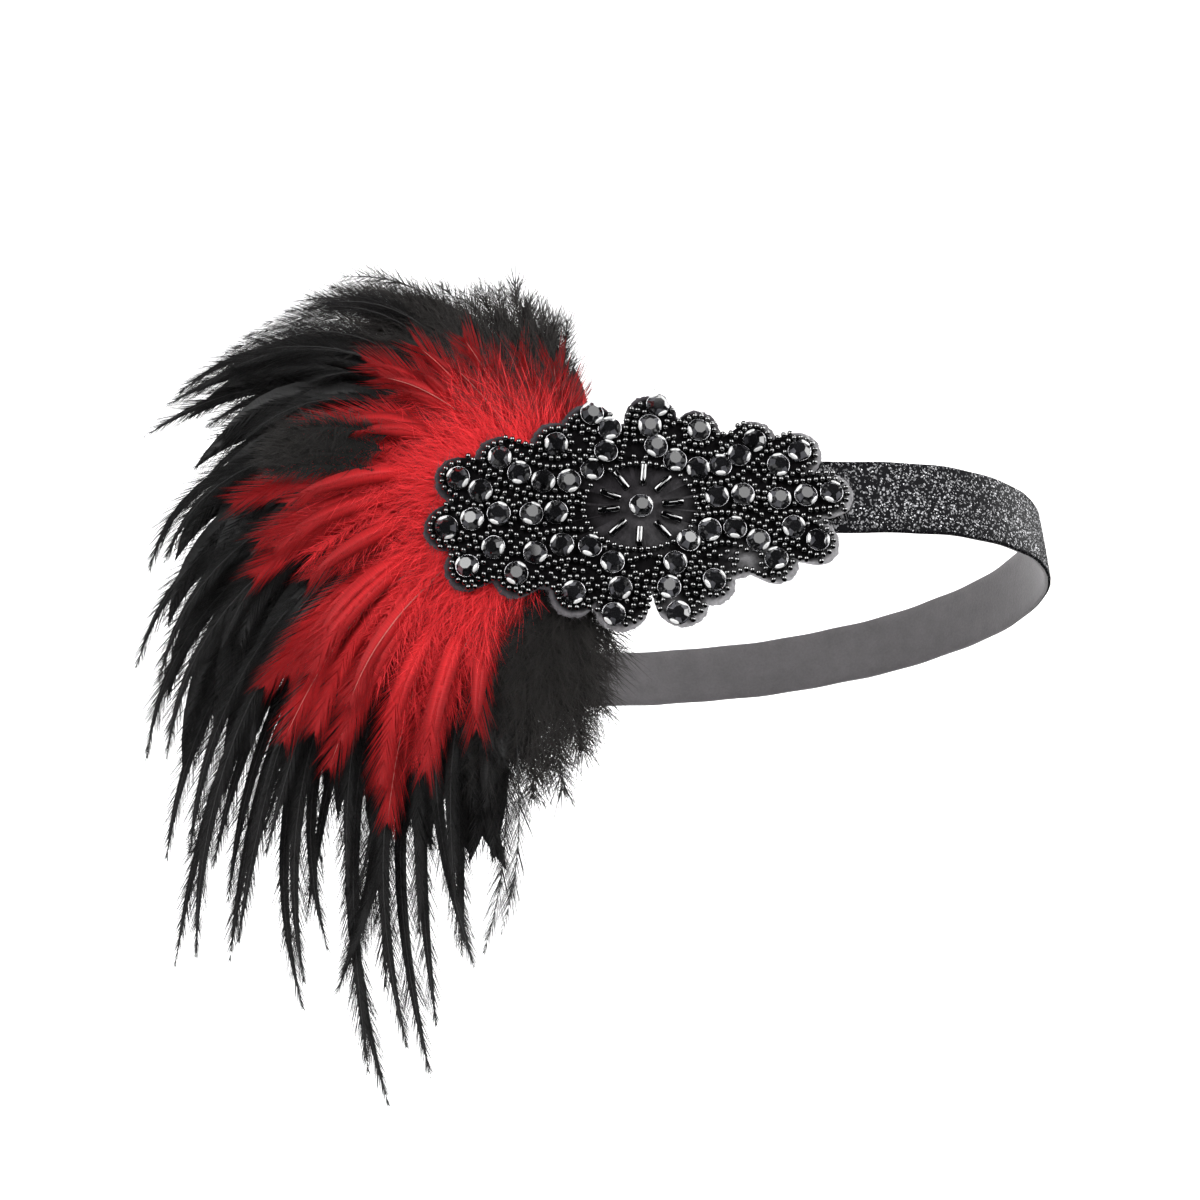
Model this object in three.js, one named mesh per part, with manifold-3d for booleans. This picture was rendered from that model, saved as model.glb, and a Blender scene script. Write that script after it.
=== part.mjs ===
import * as THREE from 'three';
import { mergeVertices } from 'three/addons/utils/BufferGeometryUtils.js';
import { ParametricGeometry } from 'three/addons/geometries/ParametricGeometry.js';
import Module from 'manifold-3d';

const wasm = await Module();
wasm.setup();

// Sizes are in millimetres and angles in degrees.
// The origin is the centre of the head opening, +Z is up and the motif faces -Y.
const BAND = { width: 18.5, thickness: 1.6, sections: 84 };
const LOOP = { radius: 86.8, oval: 13.6, ovalTurn: 8.5, egg: 2.4, eggTurn: -30.6 };
const CORNER = { reach: 9, turn: -145, power: 12 };
const WORN = { pitch: -19, roll: -5.5, flare: 6 };
const MOTIF = { angle: -100, drop: -1.7, felt: 2, lobe: 5.6, innerLobe: 6.6, long: 46, short: 21, spokes: 114 };
const SEAT = { clear: 0.4, lift: 3.4, liftFrom: 36, liftTo: -4, gap: 0.45 };
const STONE = { radius: 2.8, girdle: 0.9, crown: 2.1, table: 1.7, sides: 8 };
const THREAD = { radius: 0.5, height: 0.8, steps: 14, sides: 4 };
const BUGLE = { radius: 0.95, length: 5.2, inner: 5.1, sides: 12 };
const PLUME = { root: -20, tilt: 0.21, tiltReach: 28, recede: 0.2, round: 40, bendFrom: 26, bendTo: 48 };

// The long rows of stones, from the outer lobe to the inner one. The motif is sewn by hand and not quite even.
const ROWS = [
  {
    name: 'upper_right',
    stones: 8,
    lobe: { along: 4.6, up: 21.4 },
    marks: [
      { along: 29.8, up: 15.7 },
      { along: 24.1, up: 11.0 },
      { along: 18.6, up: 8.8 },
      { along: 12.6, up: 9.6 },
      { along: 7.2, up: 12.3 },
      { along: 3.6, up: 16.6 },
      { along: 4.3, up: 21.4 },
      { along: 6.2, up: 25.1 },
    ],
  },
  {
    name: 'upper_left',
    stones: 8,
    lobe: { along: -10.4, up: 19.8 },
    marks: [
      { along: -31.5, up: 14.5 },
      { along: -27.5, up: 10.3 },
      { along: -21.9, up: 7.6 },
      { along: -15.2, up: 7.5 },
      { along: -9.1, up: 10.7 },
      { along: -6.4, up: 16.0 },
      { along: -6.0, up: 20.4 },
      { along: -9.8, up: 23.5 },
    ],
  },
  {
    name: 'lower_left',
    stones: 7,
    lobe: { along: -6.4, up: -22.9 },
    marks: [
      { along: -30.2, up: -13.8 },
      { along: -26.3, up: -9.9 },
      { along: -20.6, up: -8.2 },
      { along: -14.8, up: -8.4 },
      { along: -9.1, up: -11.6 },
      { along: -6.4, up: -17.0 },
      { along: -6.9, up: -21.4 },
      { along: -8.7, up: -25.6 },
    ],
  },
  {
    name: 'lower_right',
    stones: 8,
    lobe: { along: 8.2, up: -22.8 },
    marks: [
      { along: 31.9, up: -14.5 },
      { along: 28.0, up: -9.7 },
      { along: 21.9, up: -6.3 },
      { along: 15.2, up: -6.7 },
      { along: 9.0, up: -10.4 },
      { along: 6.3, up: -15.7 },
      { along: 5.0, up: -20.4 },
      { along: 6.7, up: -26.3 },
    ],
  },
];
const STONES = [
  { name: 'centre', along: 0.0, up: 0.0, lobe: false },
  { name: 'petal_tip_upper_right', along: 40.5, up: 12.3, lobe: true },
  { name: 'petal_heel_upper_right', along: 34.8, up: 9.2, lobe: false },
  { name: 'shoulder_upper_right', along: 15.9, up: 18.5, lobe: true },
  { name: 'petal_tip_upper_left', along: -40.9, up: 10.8, lobe: true },
  { name: 'petal_heel_upper_left', along: -36.4, up: 7.0, lobe: false },
  { name: 'shoulder_upper_left', along: -18.7, up: 16.8, lobe: true },
  { name: 'petal_tip_lower_left', along: -40.9, up: -10.8, lobe: true },
  { name: 'petal_heel_lower_left', along: -34.5, up: -7.0, lobe: false },
  { name: 'shoulder_lower_left', along: -17.3, up: -19.6, lobe: true },
  { name: 'petal_tip_lower_right', along: 42.2, up: -10.5, lobe: true },
  { name: 'petal_heel_lower_right', along: 36.8, up: -6.6, lobe: false },
  { name: 'shoulder_lower_right', along: 15.9, up: -18.9, lobe: true },
  { name: 'axis_left_1', along: -19.8, up: 0.0, lobe: false },
  { name: 'axis_left_2', along: -25.6, up: 0.0, lobe: false },
  { name: 'axis_left_3', along: -32.8, up: 0.9, lobe: false },
  { name: 'axis_left_4', along: -38.7, up: 0.3, lobe: false },
  { name: 'axis_left_5', along: -44.6, up: -0.5, lobe: true },
  { name: 'axis_right_1', along: 18.9, up: 1.6, lobe: false },
  { name: 'axis_right_2', along: 25.3, up: 2.1, lobe: false },
  { name: 'axis_right_3', along: 34.1, up: 0.6, lobe: false },
  { name: 'axis_right_4', along: 40.7, up: 1.0, lobe: false },
  { name: 'axis_right_5', along: 47.0, up: 1.4, lobe: true },
];
const BUGLE_ANGLES = [3, 42, 81, 123, 156, 183, 220, 262, 307, 337];

// Each lock runs from the root of the fan to its tip. Angles are counted from +X towards +Z.
const BLACK_LOCKS = [
  { x: 3, z: 47, leave: 92, arrive: 84 },
  { x: -10, z: 57, leave: 106, arrive: 96 },
  { x: -28, z: 56, leave: 118, arrive: 135 },
  { x: -46, z: 56, leave: 122, arrive: 162 },
  { x: -63, z: 53, leave: 128, arrive: 188 },
  { x: -95, z: 30, leave: 130, arrive: 222 },
  { x: -104, z: 19, leave: 136, arrive: 216 },
  { x: -100, z: -15, leave: 146, arrive: 262 },
  { x: -103, z: -39, leave: 152, arrive: 258 },
  { x: -100, z: -61, leave: 158, arrive: 266 },
  { x: -95, z: -86, leave: 166, arrive: 264 },
  { x: -93, z: -112, leave: 172, arrive: 262 },
  { x: -79, z: -110, leave: 180, arrive: 264 },
  { x: -60, z: -121, leave: 188, arrive: 288 },
  { x: -53, z: -117, leave: 198, arrive: 246 },
  { x: -39, z: -143, leave: 208, arrive: 288 },
  { x: -29, z: -136, leave: 222, arrive: 284 },
  { x: -23, z: -105, leave: 236, arrive: 256 },
  { x: -9, z: -73, leave: 252, arrive: 268 },
  { x: 2, z: -68, leave: 266, arrive: 274 },
  { x: 11, z: -42, leave: 284, arrive: 292 },
];
const RED_LOCKS = [
  { x: 3, z: 32, leave: 86, arrive: 80 },
  { x: -9, z: 39, leave: 102, arrive: 105 },
  { x: -22, z: 42, leave: 116, arrive: 126 },
  { x: -33, z: 40, leave: 124, arrive: 142 },
  { x: -45, z: 36, leave: 136, arrive: 166 },
  { x: -60, z: 20, leave: 146, arrive: 200 },
  { x: -78, z: 2, leave: 156, arrive: 205 },
  { x: -72, z: -16, leave: 166, arrive: 222 },
  { x: -69, z: -42, leave: 180, arrive: 234 },
  { x: -64, z: -55, leave: 190, arrive: 246 },
  { x: -53, z: -61, leave: 202, arrive: 250 },
  { x: -39, z: -74, leave: 214, arrive: 264 },
  { x: -28, z: -66, leave: 228, arrive: 264 },
  { x: -20, z: -52, leave: 242, arrive: 262 },
  { x: -9, z: -34, leave: 256, arrive: 268 },
];
const BLACK = {
  locks: BLACK_LOCKS, share: 0.66, pad: 8, spokes: 54, floor: 0.4, width: 15,
  thin: 1.2, thick: 6.6, floorRise: 0, riseFrom: 50, riseTo: 68,
};
const RED = {
  locks: RED_LOCKS, share: 0.7, pad: 8, spokes: 48, floor: 2.1, width: 13,
  thin: 1.1, thick: 7.4, floorRise: 5.6, riseFrom: 39, riseTo: 52,
};
const FUSE = { tolerance: 0.06 };
const LOCK = { from: 0.42, rows: 6, pull: 0.4, thickness: 0.86, tip: 0.12 };

const rad = THREE.MathUtils.degToRad;
const smooth = THREE.MathUtils.smoothstep;
const lerp = THREE.MathUtils.lerp;
const worn = new THREE.Matrix4().makeRotationY(rad(WORN.roll));
worn.multiply(new THREE.Matrix4().makeRotationX(rad(WORN.pitch)));

// The loop in its own plane: an oval whose fuller front corner leaves a flat stretch behind the motif.
class HeadLoop extends THREE.Curve {
  getPoint(t, target = new THREE.Vector3()) {
    const turn = rad(MOTIF.angle) + t * 2 * Math.PI;
    const oval = LOOP.oval * Math.cos(2 * (turn - rad(LOOP.ovalTurn)));
    const egg = LOOP.egg * Math.cos(3 * (turn - rad(LOOP.eggTurn)));
    const corner = CORNER.reach * Math.max(0, Math.cos(turn - rad(CORNER.turn))) ** CORNER.power;
    const radius = LOOP.radius + oval + egg + corner;
    return target.set(radius * Math.cos(turn), radius * Math.sin(turn), 0);
  }
}
const loop = new HeadLoop();
loop.arcLengthDivisions = 720;
const girth = loop.getLength();

// Position and directions on the band's middle surface, at a distance to the right of the motif.
function frameAt(distance) {
  const length = ((distance % girth) + girth) % girth;
  const t = loop.getUtoTmapping(0, length);
  const point = loop.getPoint(t);
  const ahead = loop.getPoint(t + 1e-4);
  const along = ahead.sub(loop.getPoint(t - 1e-4)).normalize();
  const side = new THREE.Vector3(along.y, -along.x, 0);
  const turn = Math.atan2(point.y, point.x);
  const flare = rad(WORN.flare * (1 - Math.cos(turn)));
  const up = new THREE.Vector3(0, 0, Math.cos(flare)).addScaledVector(side, Math.sin(flare));
  const out = side.multiplyScalar(Math.cos(flare));
  out.z = -Math.sin(flare);
  for (const vector of [point, along, up, out]) {
    vector.applyMatrix4(worn);
  }
  return { point, along, up, out };
}

function onBand(along, up, height) {
  const frame = frameAt(along);
  return frame.point.addScaledVector(frame.up, up).addScaledVector(frame.out, height);
}

// Height of the felt's back above the band, raised on the left where the feather heads lie.
function seat(along) {
  return SEAT.clear + SEAT.lift * (1 - smooth(along, SEAT.liftTo, SEAT.liftFrom));
}

function onMotif(along, up, height) {
  return onBand(along, up + MOTIF.drop, BAND.thickness / 2 + seat(along) + height);
}

const fanRoot = onBand(PLUME.root, 0, BAND.thickness / 2);

// A point of the fan: flat to the band near its root, and hanging free further out.
function onFan(x, z, height) {
  const reach = Math.hypot(x, z);
  const free = smooth(reach, PLUME.bendFrom, PLUME.bendTo);
  const roll = rad(WORN.roll);
  const along = PLUME.root + x * Math.cos(roll) - z * Math.sin(roll);
  const up = x * Math.sin(roll) + z * Math.cos(roll);
  const held = onBand(along, up, BAND.thickness / 2 + height);
  const swept = PLUME.recede * (Math.hypot(Math.min(x, 0), PLUME.round) - PLUME.round);
  const leant = PLUME.tilt * PLUME.tiltReach * Math.tanh(z / PLUME.tiltReach);
  const hung = new THREE.Vector3(fanRoot.x + x, fanRoot.y + swept + leant - height, fanRoot.z + z);
  return held.lerp(hung, free);
}

// Closed triangles of a geometry: equal corners joined and empty triangles left out.
function closed(source) {
  const bare = new THREE.BufferGeometry();
  bare.setAttribute('position', source.getAttribute('position').clone());
  bare.setIndex(source.index ? source.index.clone() : null);
  const welded = mergeVertices(bare, 1e-5);
  const kept = [];
  const index = welded.index.array;
  for (let i = 0; i < index.length; i += 3) {
    const [a, b, c] = [index[i], index[i + 1], index[i + 2]];
    if (a !== b && b !== c && c !== a) {
      kept.push(a, b, c);
    }
  }
  welded.setIndex(kept);
  return welded;
}

function solid(geometry) {
  const welded = closed(geometry);
  const body = new wasm.Manifold(new wasm.Mesh({
    numProp: 3,
    vertProperties: new Float32Array(welded.getAttribute('position').array),
    triVerts: new Uint32Array(welded.index.array),
  }));
  return body;
}

// Several closed shapes as one body, filled solid: only its outer shell is kept, without slivers.
function fused(geometries) {
  const body = geometries.map(solid).reduce((whole, next) => whole.add(next));
  const shells = body.simplify(FUSE.tolerance).decompose().sort((a, b) => b.volume() - a.volume());
  const mesh = shells[0].getMesh();
  const geometry = new THREE.BufferGeometry();
  geometry.setAttribute('position', new THREE.BufferAttribute(new Float32Array(mesh.vertProperties), 3));
  geometry.setIndex(new THREE.BufferAttribute(new Uint32Array(mesh.triVerts), 1));
  return geometry;
}

// A plate with a star-shaped outline: rings of its back from the middle to the rim, then its front.
function plate(spokes, rings, outline, place) {
  const rows = 2 * rings + 1;
  const surface = (u, v, target) => {
    const angle = u * 2 * Math.PI;
    const row = Math.round(v * rows);
    const front = row > rings;
    const share = (front ? rows - row : row) / rings;
    const reach = share * outline(u === 1 ? 0 : angle);
    const turn = u === 1 ? 0 : angle;
    target.copy(place(reach * Math.cos(turn), reach * Math.sin(turn), front, share));
  };
  return closed(new ParametricGeometry(surface, spokes, rows));
}

function bandGeometry() {
  const corners = [[-1, -1], [1, -1], [1, 1], [-1, 1]];
  const surface = (u, v, target) => {
    const [side, face] = corners[Math.round(v * 4) % 4];
    const distance = (u % 1) * girth;
    target.copy(onBand(distance, -side * BAND.width / 2, face * BAND.thickness / 2));
  };
  return closed(new ParametricGeometry(surface, BAND.sections, 4));
}

const lobes = STONES.filter((stone) => stone.lobe).map((stone) => ({ ...stone, radius: MOTIF.lobe }));
for (const row of ROWS) {
  lobes.push({ ...row.marks[0], radius: MOTIF.lobe });
  lobes.push({ ...row.lobe, radius: MOTIF.innerLobe });
}

// Farthest reach of the felt in one direction: an oval body with round lobes on its rim.
function feltReach(angle) {
  const cos = Math.cos(angle);
  const sin = Math.sin(angle);
  let reach = 1 / Math.hypot(cos / MOTIF.long, sin / MOTIF.short);
  for (const lobe of lobes) {
    const ahead = lobe.along * cos + lobe.up * sin;
    const off = lobe.along * sin - lobe.up * cos;
    const half = lobe.radius ** 2 - off ** 2;
    if (ahead > 0 && half > 0) {
      reach = Math.max(reach, ahead + Math.sqrt(half));
    }
  }
  return reach;
}

function feltGeometry() {
  const place = (along, up, front) => onMotif(along, up, front ? MOTIF.felt : 0);
  return plate(MOTIF.spokes, 3, feltReach, place);
}

// Moves a shape that stands on the XY plane to its place on the felt.
function setOnFelt(geometry, along, up, turn = 0, height = 0) {
  const frame = frameAt(along);
  const place = new THREE.Matrix4().makeBasis(frame.along, frame.up, frame.out);
  place.setPosition(onMotif(along, up, MOTIF.felt + SEAT.gap + height));
  place.multiply(new THREE.Matrix4().makeRotationZ(turn));
  return geometry.applyMatrix4(place);
}

function stoneGeometry(along, up) {
  const top = STONE.girdle + STONE.crown;
  const profile = [[0, 0], [STONE.radius * 0.9, 0], [STONE.radius, STONE.girdle], [STONE.table, top], [0, top]];
  const points = profile.map(([radius, height]) => new THREE.Vector2(radius, height));
  const cut = new THREE.LatheGeometry(points, STONE.sides);
  cut.rotateX(Math.PI / 2);
  return setOnFelt(cut, along, up, rad(180 / STONE.sides));
}

// A long row of stones, evenly spaced on one thread.
function rowGeometry(row) {
  const line = new THREE.SplineCurve(row.marks.map((mark) => new THREE.Vector2(mark.along, mark.up)));
  const pieces = [];
  for (let i = 0; i < row.stones; i += 1) {
    const place = line.getPointAt(i / (row.stones - 1));
    pieces.push(stoneGeometry(place.x, place.y));
  }
  const thread = (u, v, target) => {
    const place = line.getPointAt(u);
    const heading = line.getTangentAt(u);
    const turn = (v % 1) * 2 * Math.PI;
    const size = u === 0 || u === 1 ? 0 : THREAD.radius;
    const aside = size * Math.cos(turn);
    const height = THREAD.height + size * Math.sin(turn);
    const along = place.x - heading.y * aside;
    target.copy(onMotif(along, place.y + heading.x * aside, MOTIF.felt + SEAT.gap + height));
  };
  const cord = outward(closed(new ParametricGeometry(thread, THREAD.steps, THREAD.sides)));
  return fused([cord, ...pieces]);
}

function bugleGeometry(angle) {
  const middle = BUGLE.inner + BUGLE.length / 2;
  const tube = new THREE.CylinderGeometry(BUGLE.radius, BUGLE.radius, BUGLE.length, BUGLE.sides);
  const turn = rad(angle - 90);
  return setOnFelt(tube, middle * Math.cos(rad(angle)), middle * Math.sin(rad(angle)), turn, BUGLE.radius);
}

function lockCurve(lock) {
  const pull = LOCK.pull * Math.hypot(lock.x, lock.z);
  const start = new THREE.Vector2(0, 0);
  const tip = new THREE.Vector2(lock.x, lock.z);
  const leave = new THREE.Vector2(Math.cos(rad(lock.leave)), Math.sin(rad(lock.leave)));
  const arrive = new THREE.Vector2(Math.cos(rad(lock.arrive)), Math.sin(rad(lock.arrive)));
  const first = leave.multiplyScalar(pull);
  const last = tip.clone().addScaledVector(arrive, -pull);
  return new THREE.CubicBezierCurve(start, first, last, tip);
}

function layer(plume, reach) {
  const rise = smooth(reach, plume.riseFrom, plume.riseTo);
  const low = plume.floor + plume.floorRise * rise;
  return { low, high: low + lerp(plume.thin, plume.thick, rise) };
}

// The dense inner part of a plume, with its outline a share of the reach of the locks.
function webGeometry(plume) {
  const marks = plume.locks.map((lock) => {
    const angle = (Math.atan2(lock.z, lock.x) * 180 / Math.PI + 360) % 360;
    return { angle, reach: plume.share * Math.hypot(lock.x, lock.z) };
  });
  const first = marks[0].angle;
  const last = marks[marks.length - 1].angle;
  marks.unshift({ angle: first - 30, reach: plume.pad });
  marks.push({ angle: last + 30, reach: plume.pad });
  const outline = (angle) => {
    const turned = angle * 180 / Math.PI;
    const next = marks.findIndex((mark) => mark.angle > turned);
    if (next < 1) {
      return plume.pad;
    }
    const [a, b] = [marks[next - 1], marks[next]];
    return lerp(a.reach, b.reach, smooth(turned, a.angle, b.angle));
  };
  const place = (x, z, front, share) => {
    const { low, high } = layer(plume, Math.hypot(x, z));
    const rim = 1 - 0.8 * smooth(share, 0.6, 1);
    const middle = (low + high) / 2;
    const half = (high - low) / 2 * rim;
    return onFan(x, z, front ? middle + half : middle - half);
  };
  return plate(plume.spokes, 5, outline, place);
}

// One lock: a blade with a four-sided section that swells and then tapers to its tip.
function lockGeometry(plume, lock) {
  const line = lockCurve(lock);
  const surface = (u, v, target) => {
    const t = lerp(LOCK.from, 1, u);
    const place = line.getPointAt(t);
    const heading = line.getTangentAt(t);
    const { low, high } = layer(plume, place.length());
    const swell = u === 0 || u === 1 ? 0 : lerp(1, LOCK.tip, u ** 2.2);
    const turn = Math.round(v * 4) % 4 * Math.PI / 2;
    const aside = swell * plume.width / 2 * Math.cos(turn);
    const rise = swell * LOCK.thickness * (high - low) / 2 * Math.sin(turn);
    target.copy(onFan(place.x - heading.y * aside, place.y + heading.x * aside, (low + high) / 2 + rise));
  };
  return closed(new ParametricGeometry(surface, LOCK.rows, 4));
}

function outward(geometry) {
  if (solid(geometry).volume() < 0) {
    geometry.setIndex(Array.from(geometry.index.array).reverse());
  }
  return geometry;
}

function plumeGeometry(plume) {
  const pieces = [webGeometry(plume), ...plume.locks.map((lock) => lockGeometry(plume, lock))];
  return fused(pieces.map(outward));
}

const looks = {
  band: { color: 0x2c2c30, roughness: 0.7, metalness: 0.2 },
  felt: { color: 0x77757a, roughness: 0.95, metalness: 0 },
  stone: { color: 0x34343a, roughness: 0.12, metalness: 0.4 },
  bugle: { color: 0x141417, roughness: 0.15, metalness: 0.1 },
  black: { color: 0x18181b, roughness: 0.7, metalness: 0 },
  red: { color: 0xb3151f, roughness: 0.75, metalness: 0 },
};

const group = new THREE.Group();
group.name = 'flapper_headband';

function add(parent, name, geometry, look) {
  const mesh = new THREE.Mesh(geometry, new THREE.MeshStandardMaterial({ ...looks[look], flatShading: true }));
  mesh.name = name;
  parent.add(mesh);
}

function addGroup(name) {
  const part = new THREE.Group();
  part.name = name;
  group.add(part);
  return part;
}

add(group, 'band', outward(bandGeometry()), 'band');
const plumes = addGroup('plumes');
add(plumes, 'plume_black', plumeGeometry(BLACK), 'black');
add(plumes, 'plume_red', plumeGeometry(RED), 'red');
const motif = addGroup('motif');
add(motif, 'felt_backing', outward(feltGeometry()), 'felt');
for (const row of ROWS) {
  add(motif, `stone_row_${row.name}`, rowGeometry(row), 'stone');
}
for (const stone of STONES) {
  add(motif, `stone_${stone.name}`, stoneGeometry(stone.along, stone.up), 'stone');
}
BUGLE_ANGLES.forEach((angle, i) => {
  add(motif, `bugle_${String(i + 1).padStart(2, '0')}`, bugleGeometry(angle), 'bugle');
});

export default group;
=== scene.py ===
"""Looks of a flapper headband.

A glitter band, a beaded felt motif and a fan of black and red feathers.
"""

import math
from collections import namedtuple

import bmesh
import bpy
import numpy as np
from bpy.props import FloatProperty, FloatVectorProperty, IntProperty, PointerProperty
from mathutils import Euler, Matrix, Vector


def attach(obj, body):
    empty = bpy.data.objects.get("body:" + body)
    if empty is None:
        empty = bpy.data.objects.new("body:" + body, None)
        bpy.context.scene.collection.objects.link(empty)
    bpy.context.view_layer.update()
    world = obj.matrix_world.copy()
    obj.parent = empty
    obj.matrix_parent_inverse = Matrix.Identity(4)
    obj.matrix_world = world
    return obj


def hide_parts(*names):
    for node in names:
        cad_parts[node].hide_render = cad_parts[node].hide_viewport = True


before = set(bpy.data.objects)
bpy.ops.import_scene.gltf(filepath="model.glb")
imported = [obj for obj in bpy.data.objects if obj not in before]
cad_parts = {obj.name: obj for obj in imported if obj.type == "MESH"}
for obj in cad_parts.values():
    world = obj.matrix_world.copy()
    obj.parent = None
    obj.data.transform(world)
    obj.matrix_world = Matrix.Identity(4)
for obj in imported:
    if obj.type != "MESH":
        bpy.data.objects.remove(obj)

bl_info = {
    "name": "Flapper headband",
    "version": (1, 0, 0),
    "blender": (4, 2, 0),
    "location": "View3D > Sidebar > Headband",
    "description": "Builds a glitter headband with a beaded motif and a feather fan",
    "category": "Add Mesh",
}

# Tables below are in millimetres and degrees, as the solids are drawn.
MM = 0.001
LOOP = {"radius": 86.8, "oval": 13.6, "oval_turn": 8.5, "egg": 2.4, "egg_turn": -30.6}
CORNER = {"reach": 9.0, "turn": -145.0, "power": 12}
WORN = {"pitch": -19.0, "roll": -5.5, "flare": 6.0}
MOTIF = {"angle": -100.0, "drop": -1.7, "lobe": 5.6, "inner_lobe": 6.6, "long": 46.0, "short": 21.0}
SEAT = {"clear": 0.4, "lift": 3.4, "lift_from": 36.0, "lift_to": -4.0}
FAN = {
    "root": -20.0, "tilt": 0.21, "tilt_reach": 28.0, "recede": 0.2, "round": 40.0,
    "bend_from": 26.0, "bend_to": 48.0,
}
RIBBON = {"steps": 300, "face_points": 9, "crown": 0.12, "ripple": 0.18, "short_wave": 23, "long_wave": 9}
FLAKE = {"margin": 0.6, "lift": 0.12, "scatter": 0.06, "tilt": 0.33, "corner": 0.58, "depth": 0.12}
FELT = {"steps": 432, "edge_outline": 720, "star": 0.35, "open": 0.7}
STAR = {"long": 12.9, "short": 9.9, "string_long": 13.6, "string_short": 10.6}
# Sizes of a stone's parts as shares of its radius and crown. The rim's wire and the holes are in metres.
CUT = {
    "sides": 16, "base": 0.9, "shoulder": 0.92, "shoulder_rise": 0.26, "rim": 0.985, "rim_wire": 0.00011,
    "rim_steps": 20, "hole": 0.00125, "hole_flat": (0.48, 1.0, 0.28), "hole_at": 0.84, "hole_rise": 0.4,
}
# Seed beads: distances in millimetres, clearances as shares of a bead's radius.
SEED = {
    "string": 3.75, "step": 0.32, "clear": 1.72, "loose_clear": 1.74, "stone_clear": 0.7, "tries": 16000,
    "inset": 0.75, "upper_inset": 0.6, "gap_half": 1.6, "gap_from": 12.8, "gap_to": 15.8,
}
# Starts of the random draws.
FLAKE_DRAW, FUZZ_DRAW, STONE_DRAW, BEAD_DRAW, THREAD_DRAW = 11, 5, 3, 8, 21

Row = namedtuple("Row", "name stones lobe marks")
Stone = namedtuple("Stone", "name along up lobe")
ROWS = [
    Row("upper_right", 8, (4.6, 21.4), [(29.8, 15.7), (24.1, 11.0), (18.6, 8.8), (12.6, 9.6),
        (7.2, 12.3), (3.6, 16.6), (4.3, 21.4), (6.2, 25.1)]),
    Row("upper_left", 8, (-10.4, 19.8), [(-31.5, 14.5), (-27.5, 10.3), (-21.9, 7.6), (-15.2, 7.5),
        (-9.1, 10.7), (-6.4, 16.0), (-6.0, 20.4), (-9.8, 23.5)]),
    Row("lower_left", 7, (-6.4, -22.9), [(-30.2, -13.8), (-26.3, -9.9), (-20.6, -8.2), (-14.8, -8.4),
        (-9.1, -11.6), (-6.4, -17.0), (-6.9, -21.4), (-8.7, -25.6)]),
    Row("lower_right", 8, (8.2, -22.8), [(31.9, -14.5), (28.0, -9.7), (21.9, -6.3), (15.2, -6.7),
        (9.0, -10.4), (6.3, -15.7), (5.0, -20.4), (6.7, -26.3)]),
]
STONES = [
    Stone("centre", 0.0, 0.0, False),
    Stone("petal_tip_upper_right", 40.5, 12.3, True),
    Stone("petal_heel_upper_right", 34.8, 9.2, False),
    Stone("shoulder_upper_right", 15.9, 18.5, True),
    Stone("petal_tip_upper_left", -40.9, 10.8, True),
    Stone("petal_heel_upper_left", -36.4, 7.0, False),
    Stone("shoulder_upper_left", -18.7, 16.8, True),
    Stone("petal_tip_lower_left", -40.9, -10.8, True),
    Stone("petal_heel_lower_left", -34.5, -7.0, False),
    Stone("shoulder_lower_left", -17.3, -19.6, True),
    Stone("petal_tip_lower_right", 42.2, -10.5, True),
    Stone("petal_heel_lower_right", 36.8, -6.6, False),
    Stone("shoulder_lower_right", 15.9, -18.9, True),
    Stone("axis_left_1", -19.8, 0.0, False),
    Stone("axis_left_2", -25.6, 0.0, False),
    Stone("axis_left_3", -32.8, 0.9, False),
    Stone("axis_left_4", -38.7, 0.3, False),
    Stone("axis_left_5", -44.6, -0.5, True),
    Stone("axis_right_1", 18.9, 1.6, False),
    Stone("axis_right_2", 25.3, 2.1, False),
    Stone("axis_right_3", 34.1, 0.6, False),
    Stone("axis_right_4", 40.7, 1.0, False),
    Stone("axis_right_5", 47.0, 1.4, True),
]
# Spots where the felt shows between the beads: place, half width and half height.
OPEN_FELT = [(24.6, -14.2, 3.0, 2.6), (5.6, -24.4, 2.2, 1.6), (29.0, -11.6, 1.6, 1.6)]
BUGLE_ANGLES = [3, 42, 81, 123, 156, 183, 220, 262, 307, 337]

# A lock runs from the fan's root to its tip. Angles are counted from +X towards +Z.
Lock = namedtuple("Lock", "x z leave arrive")
BLACK_TOP = [
    Lock(3, 47, 92, 84), Lock(-10, 57, 106, 96), Lock(-28, 56, 118, 135), Lock(-46, 56, 122, 162),
    Lock(-63, 53, 128, 188),
]
BLACK_VEIL = [
    Lock(-56, 56, 124, 172), Lock(-62, 53, 125, 181), Lock(-68, 50, 127, 190), Lock(-73, 47, 127, 195),
    Lock(-78, 44, 128, 200), Lock(-83, 40, 128, 205), Lock(-87, 36, 129, 210),
    Lock(-17, -106, 242, 252),
]
BLACK_LONG = [
    Lock(-95, 30, 130, 222), Lock(-104, 19, 136, 216), Lock(-100, -15, 146, 262),
    Lock(-103, -39, 152, 258), Lock(-100, -61, 158, 266), Lock(-95, -86, 166, 264),
    Lock(-93, -112, 172, 262), Lock(-79, -110, 180, 264), Lock(-60, -121, 188, 288),
    Lock(-53, -117, 198, 246), Lock(-39, -143, 208, 288), Lock(-29, -136, 222, 284),
]
BLACK_LAST = [Lock(-23, -105, 236, 256)]
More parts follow.
